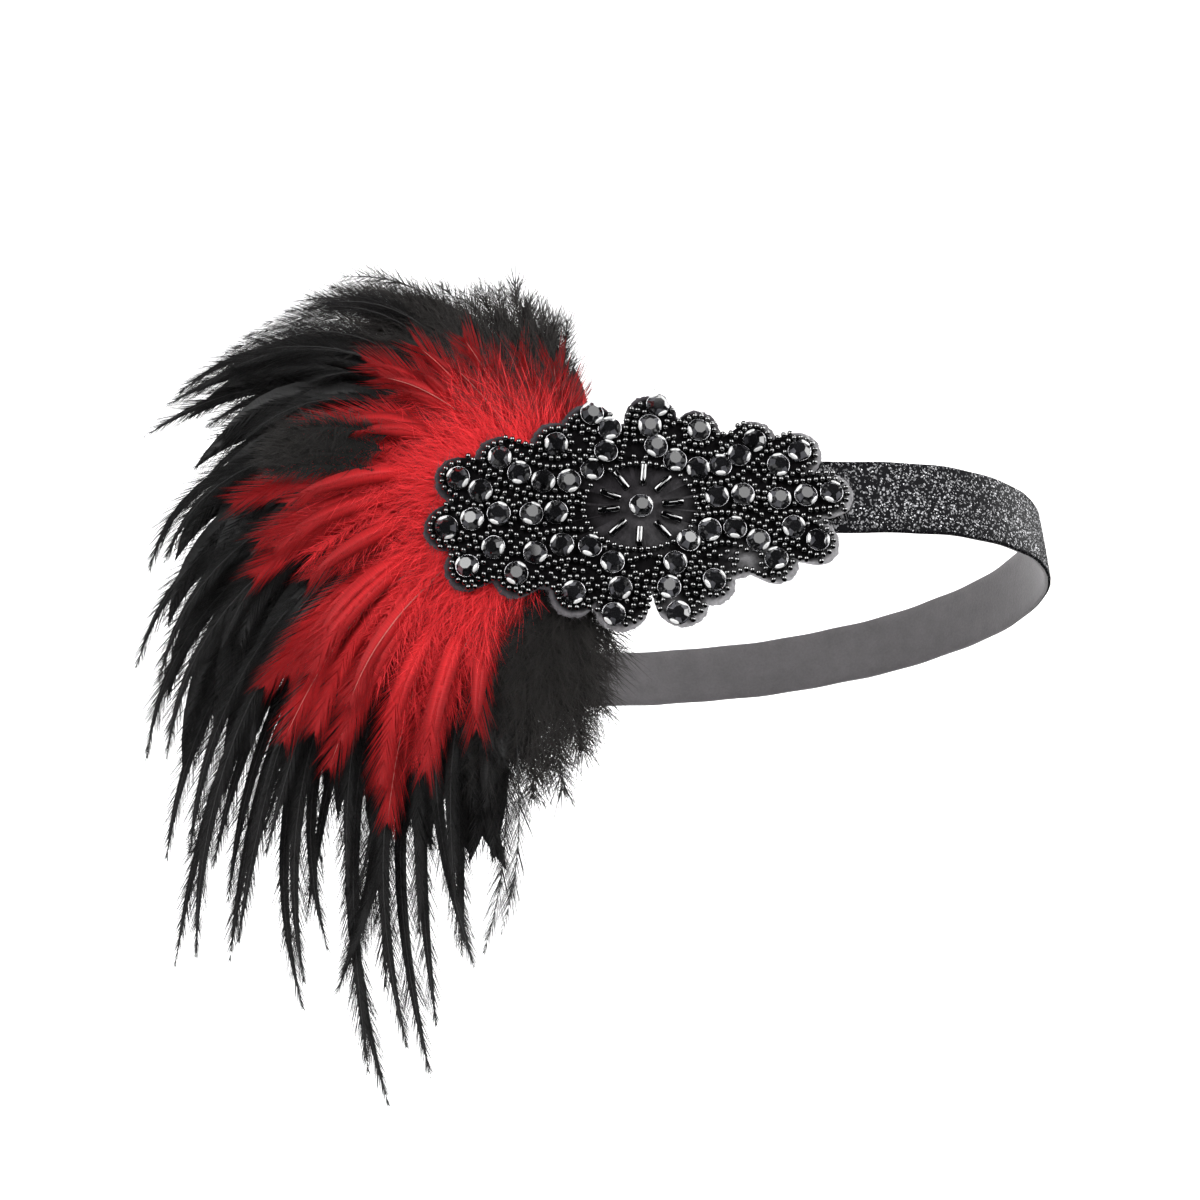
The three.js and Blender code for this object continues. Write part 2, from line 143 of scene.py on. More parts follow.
BLACK_FILL = [
    Lock(-82, 36, 132, 206), Lock(-92, 24, 136, 220), Lock(-90, 11, 141, 230), Lock(-88, 1, 145, 238),
    Lock(-94, -12, 148, 250), Lock(-95, -28, 152, 258), Lock(-95, -46, 155, 262),
    Lock(-91, -62, 160, 264), Lock(-80, -69, 166, 266), Lock(-65, -72, 178, 268),
    Lock(-52, -74, 190, 268), Lock(-44, -77, 198, 267), Lock(-37, -77, 206, 266),
]
BLACK_FOOT = [
    Lock(14, -29, 298, 306), Lock(13, -38, 290, 298), Lock(11, -48, 284, 290), Lock(7, -58, 278, 282),
    Lock(2, -67, 270, 276), Lock(-5, -69, 260, 268), Lock(-12, -70, 252, 264), Lock(-19, -67, 246, 258),
]
BLACK_TUFT = [
    Lock(-64, 19, 154, 190), Lock(-67, 16, 158, 188), Lock(-69, 13, 162, 187), Lock(-68, 10, 166, 186),
    Lock(-65, 15, 160, 189),
]
RED_LOCKS = [
    Lock(3, 32, 86, 80), Lock(-9, 39, 102, 105), Lock(-22, 42, 116, 126), Lock(-33, 40, 124, 142),
    Lock(-45, 36, 136, 166), Lock(-60, 20, 146, 200), Lock(-78, 2, 156, 205), Lock(-72, -16, 166, 222),
    Lock(-69, -42, 180, 234), Lock(-64, -55, 190, 246), Lock(-53, -61, 202, 250),
    Lock(-39, -74, 214, 264), Lock(-31, -59, 224, 258), Lock(-24, -40, 232, 246),
    Lock(-14, -28, 246, 248),
]
RED_FILL = [Lock(-48, 14, 153, 172), Lock(-52, 18, 151, 174), Lock(-54, 22, 148, 176)]

# Depth of each plume over the band: thin under the felt, full further out.
Layer = namedtuple("Layer", "floor floor_rise thin thick rise_from rise_to")
BLACK_LAYER = Layer(0.4, 0.0, 1.2, 6.6, 50.0, 68.0)
RED_LAYER = Layer(2.1, 5.6, 1.1, 7.4, 33.0, 60.0)
TUFT_LAYER = Layer(3.0, 11.0, 1.0, 2.5, 33.0, 60.0)

# How the barbs stand on a feather: widths and lengths in millimetres, angles from the quill.
# The barbs of a side are counted for a feather of VANE_LENGTH.
Vane = namedtuple(
    "Vane",
    "half_width start downy taper_from point per_side root_angle tip_angle "
    "stray lift barb steps core web quill",
)
VANE_LENGTH = 110.0
STATIONS = 61
HACKLE_BLACK = Vane(7.6, 0.2, 0.3, 0.6, 2.0, 245, 40, 19, 3, 0.06, 0.14, 2, 0.19, 0.0, 0.7)
VEIL_BLACK = Vane(8.0, 0.25, 0.2, 0.6, 1.6, 260, 42, 20, 3, 0.06, 0.11, 2, 0.08, 0.0, 1.0)
COVERT_BLACK = Vane(9.0, 0.15, 0.6, 0.6, 2.0, 80, 48, 22, 9, 0.12, 0.25, 3, 0.52, 0.0, 0.0)
CREST_BLACK = Vane(5.8, 0.3, 1.1, 0.88, 2.5, 205, 56, 34, 14, 0.2, 0.22, 3, 0.34, 0.0, 0.0)
FOOT_BLACK = Vane(7.2, 0.3, 1.1, 0.9, 2.5, 320, 66, 42, 15, 0.22, 0.28, 3, 0.24, 0.0, 0.0)
TUFT_BLACK = Vane(5.2, 0.64, 1.1, 0.9, 2.5, 300, 60, 36, 14, 0.1, 0.26, 3, 0.0, 0.0, 0.0)
HACKLE_RED = Vane(6.8, 0.22, 0.5, 0.7, 2.4, 220, 44, 18, 5, 0.05, 0.22, 3, 0.3, 0.6, 0.2)
DOWN_RED = Vane(7.4, 0.2, 1.1, 0.78, 2.2, 250, 56, 32, 15, 0.2, 0.25, 3, 0.0, 0.0, 0.0)


def smooth(x, low, high):
    """A soft step from 0 at low to 1 at high."""
    t = np.clip((np.asarray(x, float) - low) / (high - low), 0, 1)
    return t * t * (3 - 2 * t)


def unit(v):
    """Vectors of length one."""
    return v / np.maximum(np.linalg.norm(v, axis=-1, keepdims=True), 1e-12)


class LoopShape:
    """The band's middle line, by distance to the right of the motif."""

    def __init__(self):
        roll, pitch = math.radians(WORN["roll"]), math.radians(WORN["pitch"])
        self.worn = np.array(Matrix.Rotation(roll, 3, "Y") @ Matrix.Rotation(pitch, 3, "X"))
        self.share = np.linspace(0, 1, 2881)
        steps = np.linalg.norm(np.diff(self.plan(self.share), axis=0), axis=1)
        self.length = np.concatenate([[0], np.cumsum(steps)])
        self.girth = self.length[-1]

    def plan(self, share):
        """Points of the loop in its own plane, by share of a turn."""
        turn = math.radians(MOTIF["angle"]) + share * 2 * np.pi
        oval = LOOP["oval"] * np.cos(2 * (turn - math.radians(LOOP["oval_turn"])))
        egg = LOOP["egg"] * np.cos(3 * (turn - math.radians(LOOP["egg_turn"])))
        facing = np.maximum(0, np.cos(turn - math.radians(CORNER["turn"])))
        radius = LOOP["radius"] + oval + egg + CORNER["reach"] * facing ** CORNER["power"]
        return np.stack([radius * np.cos(turn), radius * np.sin(turn), 0 * turn], -1)

    def frame(self, distance):
        """Place, way along, way up and way out, as the band is worn."""
        share = np.interp(np.mod(np.asarray(distance, float), self.girth), self.length, self.share)
        point = self.plan(share)
        along = unit(self.plan(share + 1e-4) - self.plan(share - 1e-4))
        side = np.stack([along[..., 1], -along[..., 0], 0 * share], -1)
        turn = np.arctan2(point[..., 1], point[..., 0])
        flare = np.radians(WORN["flare"] * (1 - np.cos(turn)))[..., None]
        rise = np.array([0.0, 0.0, 1.0])
        up = np.cos(flare) * rise + np.sin(flare) * side
        out = np.cos(flare) * side - np.sin(flare) * rise
        return [v @ self.worn.T for v in (point, along, up, out)]


loop = LoopShape()
# Half the ribbon's thickness.
BAND_HALF = 0.8


def on_band(along, up, height):
    """Points by distance along the band, up from its middle and out from it."""
    point, _, rise, out = loop.frame(along)
    up, height = np.asarray(up, float), np.asarray(height, float)
    return point + up[..., None] * rise + height[..., None] * out


def seat(along):
    """Height of the felt's back over the band."""
    return SEAT["clear"] + SEAT["lift"] * (1 - smooth(along, SEAT["lift_to"], SEAT["lift_from"]))


def on_motif(along, up, height):
    """Points by place on the motif and height over the felt's back."""
    along = np.asarray(along, float)
    return on_band(along, np.asarray(up, float) + MOTIF["drop"], BAND_HALF + seat(along) + height)


FAN_ROOT = on_band(FAN["root"], 0.0, BAND_HALF)


def fan_to_motif(x, z):
    """The place on the band of a point of the fan."""
    roll = math.radians(WORN["roll"])
    along = FAN["root"] + x * math.cos(roll) - z * math.sin(roll)
    return along, x * math.sin(roll) + z * math.cos(roll)


def on_fan(x, z, height):
    """A point of the fan: flat to the band near its root, hanging free further out."""
    free = smooth(np.hypot(x, z), FAN["bend_from"], FAN["bend_to"])[..., None]
    along, up = fan_to_motif(x, z)
    held = on_band(along, up, BAND_HALF + height)
    swept = FAN["recede"] * (np.hypot(np.minimum(x, 0), FAN["round"]) - FAN["round"])
    leant = FAN["tilt"] * FAN["tilt_reach"] * np.tanh(z / FAN["tilt_reach"])
    hung = np.stack([FAN_ROOT[0] + x, FAN_ROOT[1] + swept + leant - height, FAN_ROOT[2] + z], -1)
    return held * (1 - free) + hung * free


LOBES = [(stone.along, stone.up, MOTIF["lobe"]) for stone in STONES if stone.lobe]
LOBES += [(*row.marks[0], MOTIF["lobe"]) for row in ROWS]
LOBES += [(*row.lobe, MOTIF["inner_lobe"]) for row in ROWS]


def felt_reach(angle):
    """Farthest reach of the felt in one direction: an oval body with round lobes on its rim."""
    angle = np.asarray(angle, float)
    cos, sin = np.cos(angle), np.sin(angle)
    reach = 1 / np.hypot(cos / MOTIF["long"], sin / MOTIF["short"])
    for along, up, radius in LOBES:
        ahead = along * cos + up * sin
        half = radius**2 - (along * sin - up * cos) ** 2
        far = ahead + np.sqrt(np.maximum(half, 0))
        reach = np.where((ahead > 0) & (half > 0), np.maximum(reach, far), reach)
    return reach


def open_felt(along, up):
    """How openly the felt shows between the beads, from 0 to 1."""
    spots = [np.exp(-(((along - a) / w) ** 2) - ((up - b) / h) ** 2) for a, b, w, h in OPEN_FELT]
    return np.max(spots, axis=0)


def in_star(along, up):
    """Whether a place lies in the oval round the star."""
    return (along / STAR["long"]) ** 2 + (up / STAR["short"]) ** 2 < 1


def row_points(row, count):
    """Evenly spaced points on the curve of one long row."""
    marks = np.array(row.marks, float)
    padded = np.vstack([marks[0], marks, marks[-1]])
    t = np.linspace(0, len(marks) - 1, 400)
    i = np.minimum(t.astype(int), len(marks) - 2)
    f = (t - i)[:, None]
    a, b, c, d = (padded[i + k] for k in range(4))
    line = b + 0.5 * f * (c - a + f * (2 * a - 5 * b + 4 * c - d + f * (3 * (b - c) + d - a)))
    return even(line, count)


def even(line, count):
    """Evenly spaced points on a line."""
    run = np.concatenate([[0], np.cumsum(np.linalg.norm(np.diff(line, axis=0), axis=1))])
    want = np.linspace(0, run[-1], count)
    return np.stack([np.interp(want, run, line[:, k]) for k in range(line.shape[1])], -1)


def stone_places():
    """Every stone of the motif as node name to a list of places."""
    places = {f"stone_row_{row.name}": [tuple(p) for p in row_points(row, row.stones)] for row in ROWS}
    places.update({f"stone_{stone.name}": [(stone.along, stone.up)] for stone in STONES})
    return places


def motif_matrix(along, up, height, turn=0.0, tilt=(0.0, 0.0)):
    """Place and directions of something that stands on the felt, in metres."""
    _, east, north, out = loop.frame(along)
    basis = Matrix((east, north, out)).transposed()
    local = Matrix.Rotation(turn, 3, "Z")
    lean = Euler((tilt[0], tilt[1], 0)).to_matrix()
    matrix = (basis @ lean @ local).to_4x4()
    matrix.translation = Vector(on_motif(along, up, height)) * MM
    return matrix


def move_to(bm, places):
    """Moves every vertex to its place, in metres."""
    for vert, place in zip(bm.verts, places):
        vert.co = place


def smooth_all(bm):
    for face in bm.faces:
        face.smooth = True


def full_turn(bm, geom, steps):
    """Spins a line of vertices and edges once round Z."""
    bmesh.ops.spin(
        bm, geom=geom, cent=(0, 0, 0), axis=(0, 0, 1), angle=2 * math.pi, steps=steps, use_merge=True
    )


def piece_from(mesh, name, materials, replaces=()):
    """A piece of the headband, riding on its one body."""
    for material in materials:
        mesh.materials.append(material)
    piece = bpy.data.objects.new(name, mesh)
    bpy.context.scene.collection.objects.link(piece)
    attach(piece, "root")
    if replaces:
        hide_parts(*replaces)
    return piece


def piece_from_bmesh(bm, name, materials, replaces=()):
    smooth_all(bm)
    mesh = bpy.data.meshes.new(name)
    bm.to_mesh(mesh)
    bm.free()
    return piece_from(mesh, name, materials, replaces)


def mesh_from_arrays(name, points, corners, sizes, uv=None):
    """One mesh from many small parts: points in millimetres, corner indices and corners per face."""
    mesh = bpy.data.meshes.new(name)
    mesh.vertices.add(len(points))
    mesh.vertices.foreach_set("co", (np.asarray(points, np.float32) * MM).ravel())
    mesh.loops.add(len(corners))
    mesh.loops.foreach_set("vertex_index", np.asarray(corners, np.int32))
    mesh.polygons.add(len(sizes))
    starts = np.concatenate([[0], np.cumsum(sizes)[:-1]]).astype(np.int32)
    mesh.polygons.foreach_set("loop_start", starts)
    mesh.update(calc_edges=True)
    if uv is not None:
        layer = mesh.uv_layers.new(name="strand")
        layer.data.foreach_set("uv", np.asarray(uv, np.float32)[corners].ravel())
    mesh.shade_smooth()
    return mesh


BARB_SECTION = np.array([(-1.0, 0.0), (1.0, 0.0), (0.0, 0.7)])
BLADE_SECTION = np.array([(-1.0, -0.04), (0.0, -0.03), (1.0, -0.04), (0.0, 0.03)])


def strand_mesh(name, bundles):
    """Joins bundles of tapered strands in one mesh of closed spikes.

    A bundle is (paths, widths, normals, tint, section).
    """
    all_points, all_corners, all_sizes, all_uv, offset = [], [], [], [], 0
    for paths, widths, normals, tint, section in bundles:
        count, steps = paths.shape[:2]
        sides = len(section)
        heading = unit(paths[:, 1:] - paths[:, :-1])
        side = unit(np.cross(heading, normals[:, None, :]))
        above = np.cross(side, heading)
        half = (widths / 2)[..., None]
        rings = np.stack([paths[:, :-1] + half * (a * side + b * above) for a, b in section], 2)
        points = np.concatenate([rings.reshape(count, -1, 3), paths[:, -1:]], 1)
        last, tip = sides * (steps - 2), sides * (steps - 1)
        pattern, sizes = list(range(sides)), [sides]
        for j in range(steps - 2):
            for k in range(sides):
                a, b = sides * j + k, sides * j + (k + 1) % sides
                pattern += [a, a + sides, b + sides, b]
                sizes.append(4)
        for k in range(sides):
            pattern += [last + k, tip, last + (k + 1) % sides]
            sizes.append(3)
        per = tip + 1
        corners = (np.array(pattern)[None, :] + per * np.arange(count)[:, None] + offset).ravel()
        reach = np.append(np.repeat(np.arange(steps - 1), sides), steps - 1) / (steps - 1)
        uv = np.stack(np.broadcast_arrays(np.atleast_2d(tint.T).T, reach[None, :]), -1)
        all_points.append(points.reshape(-1, 3))
        all_corners.append(corners)
        all_sizes.append(np.tile(sizes, count))
        all_uv.append(uv.reshape(-1, 2))
        offset += per * count
    return mesh_from_arrays(name, *(np.concatenate(v) for v in (all_points, all_corners, all_sizes, all_uv)))


def scatter_mesh(name, bm, matrices):
    """Copies of a small shape, joined in one mesh, with each face's material kept."""
    points = np.array([v.co[:] for v in bm.verts])
    bm.verts.index_update()
    corners = np.array([v.index for f in bm.faces for v in f.verts])
    sizes = np.array([len(f.verts) for f in bm.faces])
    slots = np.array([f.material_index for f in bm.faces], np.int32)
    smooth_faces = np.array([f.smooth for f in bm.faces])
    bm.free()
    stack = np.array([np.array(m) for m in matrices])
    placed = np.einsum("nij,vj->nvi", stack[:, :3, :3], points) + stack[:, None, :3, 3]
    shift = len(points) * np.arange(len(stack))[:, None]
    mesh = mesh_from_arrays(
        name, placed.reshape(-1, 3) / MM, (corners[None, :] + shift).ravel(), np.tile(sizes, len(stack))
    )
    mesh.polygons.foreach_set("material_index", np.tile(slots, len(stack)))
    mesh.polygons.foreach_set("use_smooth", np.tile(smooth_faces, len(stack)))
    return mesh


# Materials.


def add_node(tree, kind, **values):
    """A shader node with its settings and its input values."""
    made = tree.nodes.new(kind)
    for key, value in values.items():
        if hasattr(made, key):
            setattr(made, key, value)
        else:
            made.inputs[key.replace("_", " ")].default_value = value
    return made


def wire(source, output, target, entry):
    """Joins an output of one node to an input of another."""
    source.id_data.links.new(source.outputs[output], target.inputs[entry])


def shade_of(colour, share):
    """A darker or lighter shade of one colour."""
    return tuple(share * c for c in colour)


def new_material(name, **values):
    """A material with the input values of its shader."""
    material = bpy.data.materials.new(name)
    material.use_nodes = True
    tree = material.node_tree
    shader = tree.nodes["Principled BSDF"]
    for key, value in values.items():
        shader.inputs[key.replace("_", " ")].default_value = value
    return material, tree, shader


def ramp(tree, stops):
    """A colour ramp from (position, colour) pairs."""
    made = add_node(tree, "ShaderNodeValToRGB")
    elements = made.color_ramp.elements
    while len(elements) < len(stops):
        elements.new(0.5)
    for element, (position, colour) in zip(elements, stops):
        element.position = position
        element.color = (*colour, 1)
    return made


def grain_group():
    """Fibre grain in object space: a fine height and a slow change of shade."""
    name = "fibre_grain"
    if name in bpy.data.node_groups:
        return bpy.data.node_groups[name]
    tree = bpy.data.node_groups.new(name, "ShaderNodeTree")
    tree.interface.new_socket("Scale", in_out="INPUT", socket_type="NodeSocketFloat")
    tree.interface.new_socket("Height", in_out="OUTPUT", socket_type="NodeSocketFloat")
    tree.interface.new_socket("Shade", in_out="OUTPUT", socket_type="NodeSocketFloat")
    entry = tree.nodes.new("NodeGroupInput")
    leave = tree.nodes.new("NodeGroupOutput")
    coords = tree.nodes.new("ShaderNodeTexCoord")
    fine = add_node(tree, "ShaderNodeTexNoise", Detail=4.0, Roughness=0.65)
    slow = add_node(tree, "ShaderNodeTexNoise", Detail=3.0, Roughness=0.6)
    tenth = add_node(tree, "ShaderNodeMath", operation="MULTIPLY")
    tenth.inputs[1].default_value = 0.09
    wire(coords, "Object", fine, "Vector")
    wire(coords, "Object", slow, "Vector")
    wire(entry, "Scale", fine, "Scale")
    wire(entry, "Scale", tenth, 0)
    wire(tenth, 0, slow, "Scale")
    wire(fine, "Fac", leave, "Height")
    wire(slow, "Fac", leave, "Shade")
    return tree


def use_grain(tree, scale):
    return add_node(tree, "ShaderNodeGroup", node_tree=grain_group(), Scale=scale)


def cloth_material(name, dark, light, scale, bump, **values):
    """Matt cloth whose colour and surface follow a fibre grain."""
    material, tree, shader = new_material(name, **values)
    grain = use_grain(tree, scale)
    tone = ramp(tree, [(0.3, dark), (0.7, light)])
    mix = add_node(tree, "ShaderNodeMix", data_type="FLOAT", Factor=0.5)
    relief = add_node(tree, "ShaderNodeBump", Strength=bump, Distance=0.0004)
    wire(grain, "Height", mix, "A")
    wire(grain, "Shade", mix, "B")
    wire(mix, "Result", tone, "Fac")
    wire(tone, "Color", shader, "Base Color")
    wire(grain, "Height", relief, "Height")
    wire(relief, "Normal", shader, "Normal")
    return material


def glitter_material(velvet, glitter):
    """Black velvet with silver grains set in it, each at its own small tilt."""
    material, tree, shader = new_material("glitter_velvet", Roughness=0.42, Specular_IOR_Level=0.015)
    coords = tree.nodes.new("ShaderNodeTexCoord")
    cells = add_node(tree, "ShaderNodeTexVoronoi", Scale=2300.0)
    split = tree.nodes.new("ShaderNodeSeparateColor")
    grains = ramp(tree, [(0.8, (0, 0, 0)), (0.86, (1, 1, 1))])
    tone = ramp(tree, [(0.0, shade_of(glitter, 0.055)), (1.0, shade_of(glitter, 0.393))])
    colour = add_node(tree, "ShaderNodeMix", data_type="RGBA")
    colour.inputs["A"].default_value = (*velvet, 1)
    relief = add_node(tree, "ShaderNodeBump", Strength=0.9, Distance=0.0002)
    wire(coords, "Object", cells, "Vector")
    wire(cells, "Color", split, "Color")
    wire(split, "Red", grains, "Fac")
    wire(split, "Green", tone, "Fac")
    wire(grains, "Color", colour, "Factor")
    wire(tone, "Color", colour, "B")
    wire(colour, "Result", shader, "Base Color")
    wire(grains, "Color", shader, "Metallic")
    wire(split, "Blue", relief, "Height")
    wire(relief, "Normal", shader, "Normal")
    return material


def gloss_material(name, dark, light, scale, **values):
    """Polished glass or foil with a slight change of shade from bead to bead."""
    material, tree, shader = new_material(name, **values)
    grain = use_grain(tree, scale)
    tone = ramp(tree, [(0.35, dark), (0.65, light)])
    wire(grain, "Shade", tone, "Fac")
    wire(tone, "Color", shader, "Base Color")
    return material


def feather_material(name, stops, speckle, tip, **values):
    """Colour from a feather's root to its tip, with its own level at barb tips, grain and bars; on the black
    feathers the paler barb tips are painted highlights.
    """
    material, tree, shader = new_material(name, **values)
    place = add_node(tree, "ShaderNodeUVMap", uv_map="strand")
    split = tree.nodes.new("ShaderNodeSeparateXYZ")
    tone = ramp(tree, stops)
    grain = use_grain(tree, 260.0)
    bars = add_node(tree, "ShaderNodeTexNoise", noise_dimensions="1D", Scale=200.0, Detail=1.0)
    both = add_node(tree, "ShaderNodeMix", data_type="FLOAT", Factor=0.5)
    shade = ramp(tree, [(0.36, (speckle,) * 3), (0.64, (1.0, 1.0, 1.0))])
    blend = add_node(tree, "ShaderNodeMix", data_type="RGBA", blend_type="MULTIPLY", Factor=1.0)
    # Level at the barb tips: above 1 it makes them paler, a painted highlight; below 1 it makes them darker.
    level = add_node(
        tree, "ShaderNodeMapRange", interpolation_type="SMOOTHSTEP", To_Min=1.0, To_Max=tip
    )
    lit = add_node(tree, "ShaderNodeVectorMath", operation="SCALE")
    wire(place, "UV", split, "Vector")
    wire(split, "X", tone, "Fac")
    wire(split, "Y", level, "Value")
    wire(split, "Y", bars, "W")
    wire(grain, "Shade", both, "A")
    wire(bars, "Fac", both, "B")
    wire(both, "Result", shade, "Fac")
    wire(tone, "Color", lit, 0)
    wire(level, "Result", lit, "Scale")
    wire(lit, "Vector", blend, "A")
    wire(shade, "Color", blend, "B")
    wire(blend, "Result", shader, "Base Color")
    return material


def felt_material(shaded, pale):
    """Felt with painted shade, near black, under and between the beads, grey where it is bare, and painted
    light that makes one side paler.
    """
    material, tree, shader = new_material("grey_felt", Roughness=0.95, Specular_IOR_Level=0.05)
    place = add_node(tree, "ShaderNodeUVMap", uv_map="strand")
    split = tree.nodes.new("ShaderNodeSeparateXYZ")
    # The felt's tone runs from the felt in painted shade to its grey where the light falls.
    tone = ramp(tree, [(0.0, shaded), (1.0, pale)])
    grain = use_grain(tree, 700.0)
    shade = ramp(tree, [(0.3, (0.55, 0.55, 0.55)), (0.7, (1.0, 1.0, 1.0))])
    blend = add_node(tree, "ShaderNodeMix", data_type="RGBA")
    # Felt under and between the beads is near black: painted shade.
    blend.inputs["A"].default_value = (*shade_of(shaded, 0.082), 1)
    broken = add_node(tree, "ShaderNodeMix", data_type="RGBA", blend_type="MULTIPLY", Factor=1.0)
    relief = add_node(tree, "ShaderNodeBump", Strength=0.7, Distance=0.0004)
    wire(place, "UV", split, "Vector")
    wire(split, "X", blend, "Factor")
    wire(split, "Y", tone, "Fac")
    wire(tone, "Color", blend, "B")
    wire(grain, "Height", shade, "Fac")
    wire(blend, "Result", broken, "A")
    wire(shade, "Color", broken, "B")
    wire(broken, "Result", shader, "Base Color")
    wire(grain, "Height", relief, "Height")
    wire(relief, "Normal", shader, "Normal")
    return material


# Feathers.


def lock_line(lock, count):
    """The middle of a lock as evenly spaced points, with its length."""
    pull = 0.4 * math.hypot(lock.x, lock.z)
    leave, arrive = math.radians(lock.leave), math.radians(lock.arrive)
    tip = np.array([lock.x, lock.z], float)
    first = pull * np.array([math.cos(leave), math.sin(leave)])
    last = tip - pull * np.array([math.cos(arrive), math.sin(arrive)])
    t = np.linspace(0, 1, 200)[:, None]
    line = 3 * t * (1 - t) ** 2 * first + 3 * t * t * (1 - t) * last + t**3 * tip
    points = even(line, count)
    return points, np.linalg.norm(np.diff(points, axis=0), axis=1).sum()


def layer_height(layer, x, z, share):
    """Height of a feather over the band, by its share of the plume's depth."""
    rise = smooth(np.hypot(x, z), layer.rise_from, layer.rise_to)
    low = layer.floor + layer.floor_rise * rise
    return low + share * (layer.thin + (layer.thick - layer.thin) * rise)


def keep_under_felt(layer, x, z, height):
    """Barbs that pass behind the felt stay below its back."""
    along, up = fan_to_motif(x, z)
    up = up - MOTIF["drop"]
    behind = np.hypot(along, up) < felt_reach(np.arctan2(up, along)) + 1.2
    return np.where(behind, np.clip(height, layer.floor, layer.floor + layer.thin), height), behind


def vane_width(vane, s):
    """Share of a vane's full width along the feather."""
    end = np.clip((s - vane.taper_from) / (1 - vane.taper_from), 0, 1)
    return smooth(s, vane.start - 0.16, vane.start + 0.12) * (1 - end**vane.point)


def feather(lock, vane, layer, share, rng):
    """One feather as bundles of strands: its barbs on both sides, the web along its quill and the quill."""
    line, length = lock_line(lock, STATIONS)
    station = np.linspace(0, 1, STATIONS)
    count = max(20, int(vane.per_side * length / VANE_LENGTH))
    s = np.sort(vane.start + (0.99 - vane.start) * rng.random(2 * count) ** 0.9)
    sign = np.where(np.arange(2 * count) % 2, 1.0, -1.0)
    ahead = np.gradient(line, axis=0)
    heading = np.unwrap(np.arctan2(ahead[:, 1], ahead[:, 0]))
    x0, z0 = np.interp(s, station, line[:, 0]), np.interp(s, station, line[:, 1])
    turn = np.interp(s, station, heading)
    fluff = 1 - smooth(s, vane.downy - 0.14, vane.downy + 0.06)
    waves = sum(np.sin(s * f + p) for f, p in zip((31, 53, 97), rng.random(3) * 6.3)) / 3
    angle = vane.root_angle + (vane.tip_angle - vane.root_angle) * s
    angle = angle + waves * (3 + 8 * fluff) + rng.normal(0, 1, len(s)) * vane.stray * (0.35 + fluff)
    angle = np.radians(np.clip(angle, 7, 115))
    reach = vane.half_width * vane_width(vane, s) / np.sin(np.maximum(angle, 0.3))
    reach = np.clip(reach, 2.2, 1.8 * vane.half_width) * (0.75 + 0.35 * rng.random(len(s)))
    bow = rng.normal(0.35, 0.12 + 0.5 * fluff, len(s))
    rise = rng.normal(0, vane.lift * (0.25 + 0.9 * fluff), len(s))
    curl = rng.normal(0, vane.lift * (0.2 + 0.8 * fluff), len(s))
    h0 = layer_height(layer, x0, z0, share)
    x, z, h = [x0], [z0], [h0]
    for step in range(1, vane.steps):
        u = step / (vane.steps - 1)
        aim = turn + sign * angle * (1 - bow * u * 0.6)
        x.append(x[-1] + reach / (vane.steps - 1) * np.cos(aim))
        z.append(z[-1] + reach / (vane.steps - 1) * np.sin(aim))
        h.append(h0 + np.clip(reach * (rise * u + curl * u * u), -2.5, 3.5))
    x, z, h = (np.stack(v, 1) for v in (x, z, h))
    h, behind = keep_under_felt(layer, x, z, h)
    shown = ~behind[:, -1]
    if not shown.any():
        return []
    paths = on_fan(x[shown], z[shown], h[shown])
    widths = vane.barb * (1 - 0.3 * fluff[shown])[:, None] * np.linspace(1, 0.62, vane.steps - 1)[None, :]
    normals = unit(np.array([0.0, -1.0, 0.15]) + 0.35 * rng.normal(0, 1, (shown.sum(), 3)))
    bundles = [(paths, widths, normals, 0.9 * s[shown], BARB_SECTION)]
    pick = station > vane.start * 0.6
    mid, at = line[pick][::3], station[pick][::3]
    levels = layer_height(layer, mid[:, 0], mid[:, 1], share)
    levels, _ = keep_under_felt(layer, mid[:, 0], mid[:, 1], levels)
    facing = unit(np.array([[0.0, -1.0, 0.1]]) + 0.16 * rng.normal(0, 1, (1, 3)))
    if vane.core > 0.1:
        web = on_fan(mid[:, 0], mid[:, 1], np.maximum(levels - 0.4, layer.floor))[None]
        fade = 1 - smooth(at, 0.4, 0.8) if vane.downy > 1 else smooth(at, vane.web - 0.25, vane.web)
        web_width = np.maximum(2 * vane.core * vane.half_width * vane_width(vane, at) * fade, 0.3)[None, :-1]
        tint = 0.9 * np.repeat(at[:-1], len(BLADE_SECTION))
        bundles.append((web, web_width, facing, np.append(tint, 0.9 * at[-1])[None], BLADE_SECTION))
    if rng.random() < vane.quill:
        quill = on_fan(mid[:, 0], mid[:, 1], levels + 0.1)[None]
        quill_width = np.linspace(0.5, 0.18, len(mid) - 1)[None]
        bundles.append((quill, quill_width, facing, np.array([1.0]), BARB_SECTION))
    return bundles


def varied(lock, rng, spread, scale):
    """A neighbour of a lock: a little shorter and turned."""
    swing = rng.normal(0, spread)
    turned = complex(lock.x, lock.z) * scale * np.exp(1j * math.radians(swing))
    leave = lock.leave + swing + rng.normal(0, 4)
    arrive = lock.arrive + swing + rng.normal(0, 5)
    return Lock(turned.real, turned.imag, leave, arrive)


def shortened(lock, limit):
    """A lock cut back to a greatest length."""
    k = min(1.0, limit / math.hypot(lock.x, lock.z))
    return Lock(lock.x * k, lock.z * k, lock.leave, lock.arrive)


def between(locks):
    """Locks halfway between neighbours, a little shorter."""
    pairs = zip(locks, locks[1:])
    return [Lock(*(k * (p + q) for k, p, q in zip((0.49, 0.49, 0.5, 0.5), a, b))) for a, b in pairs]


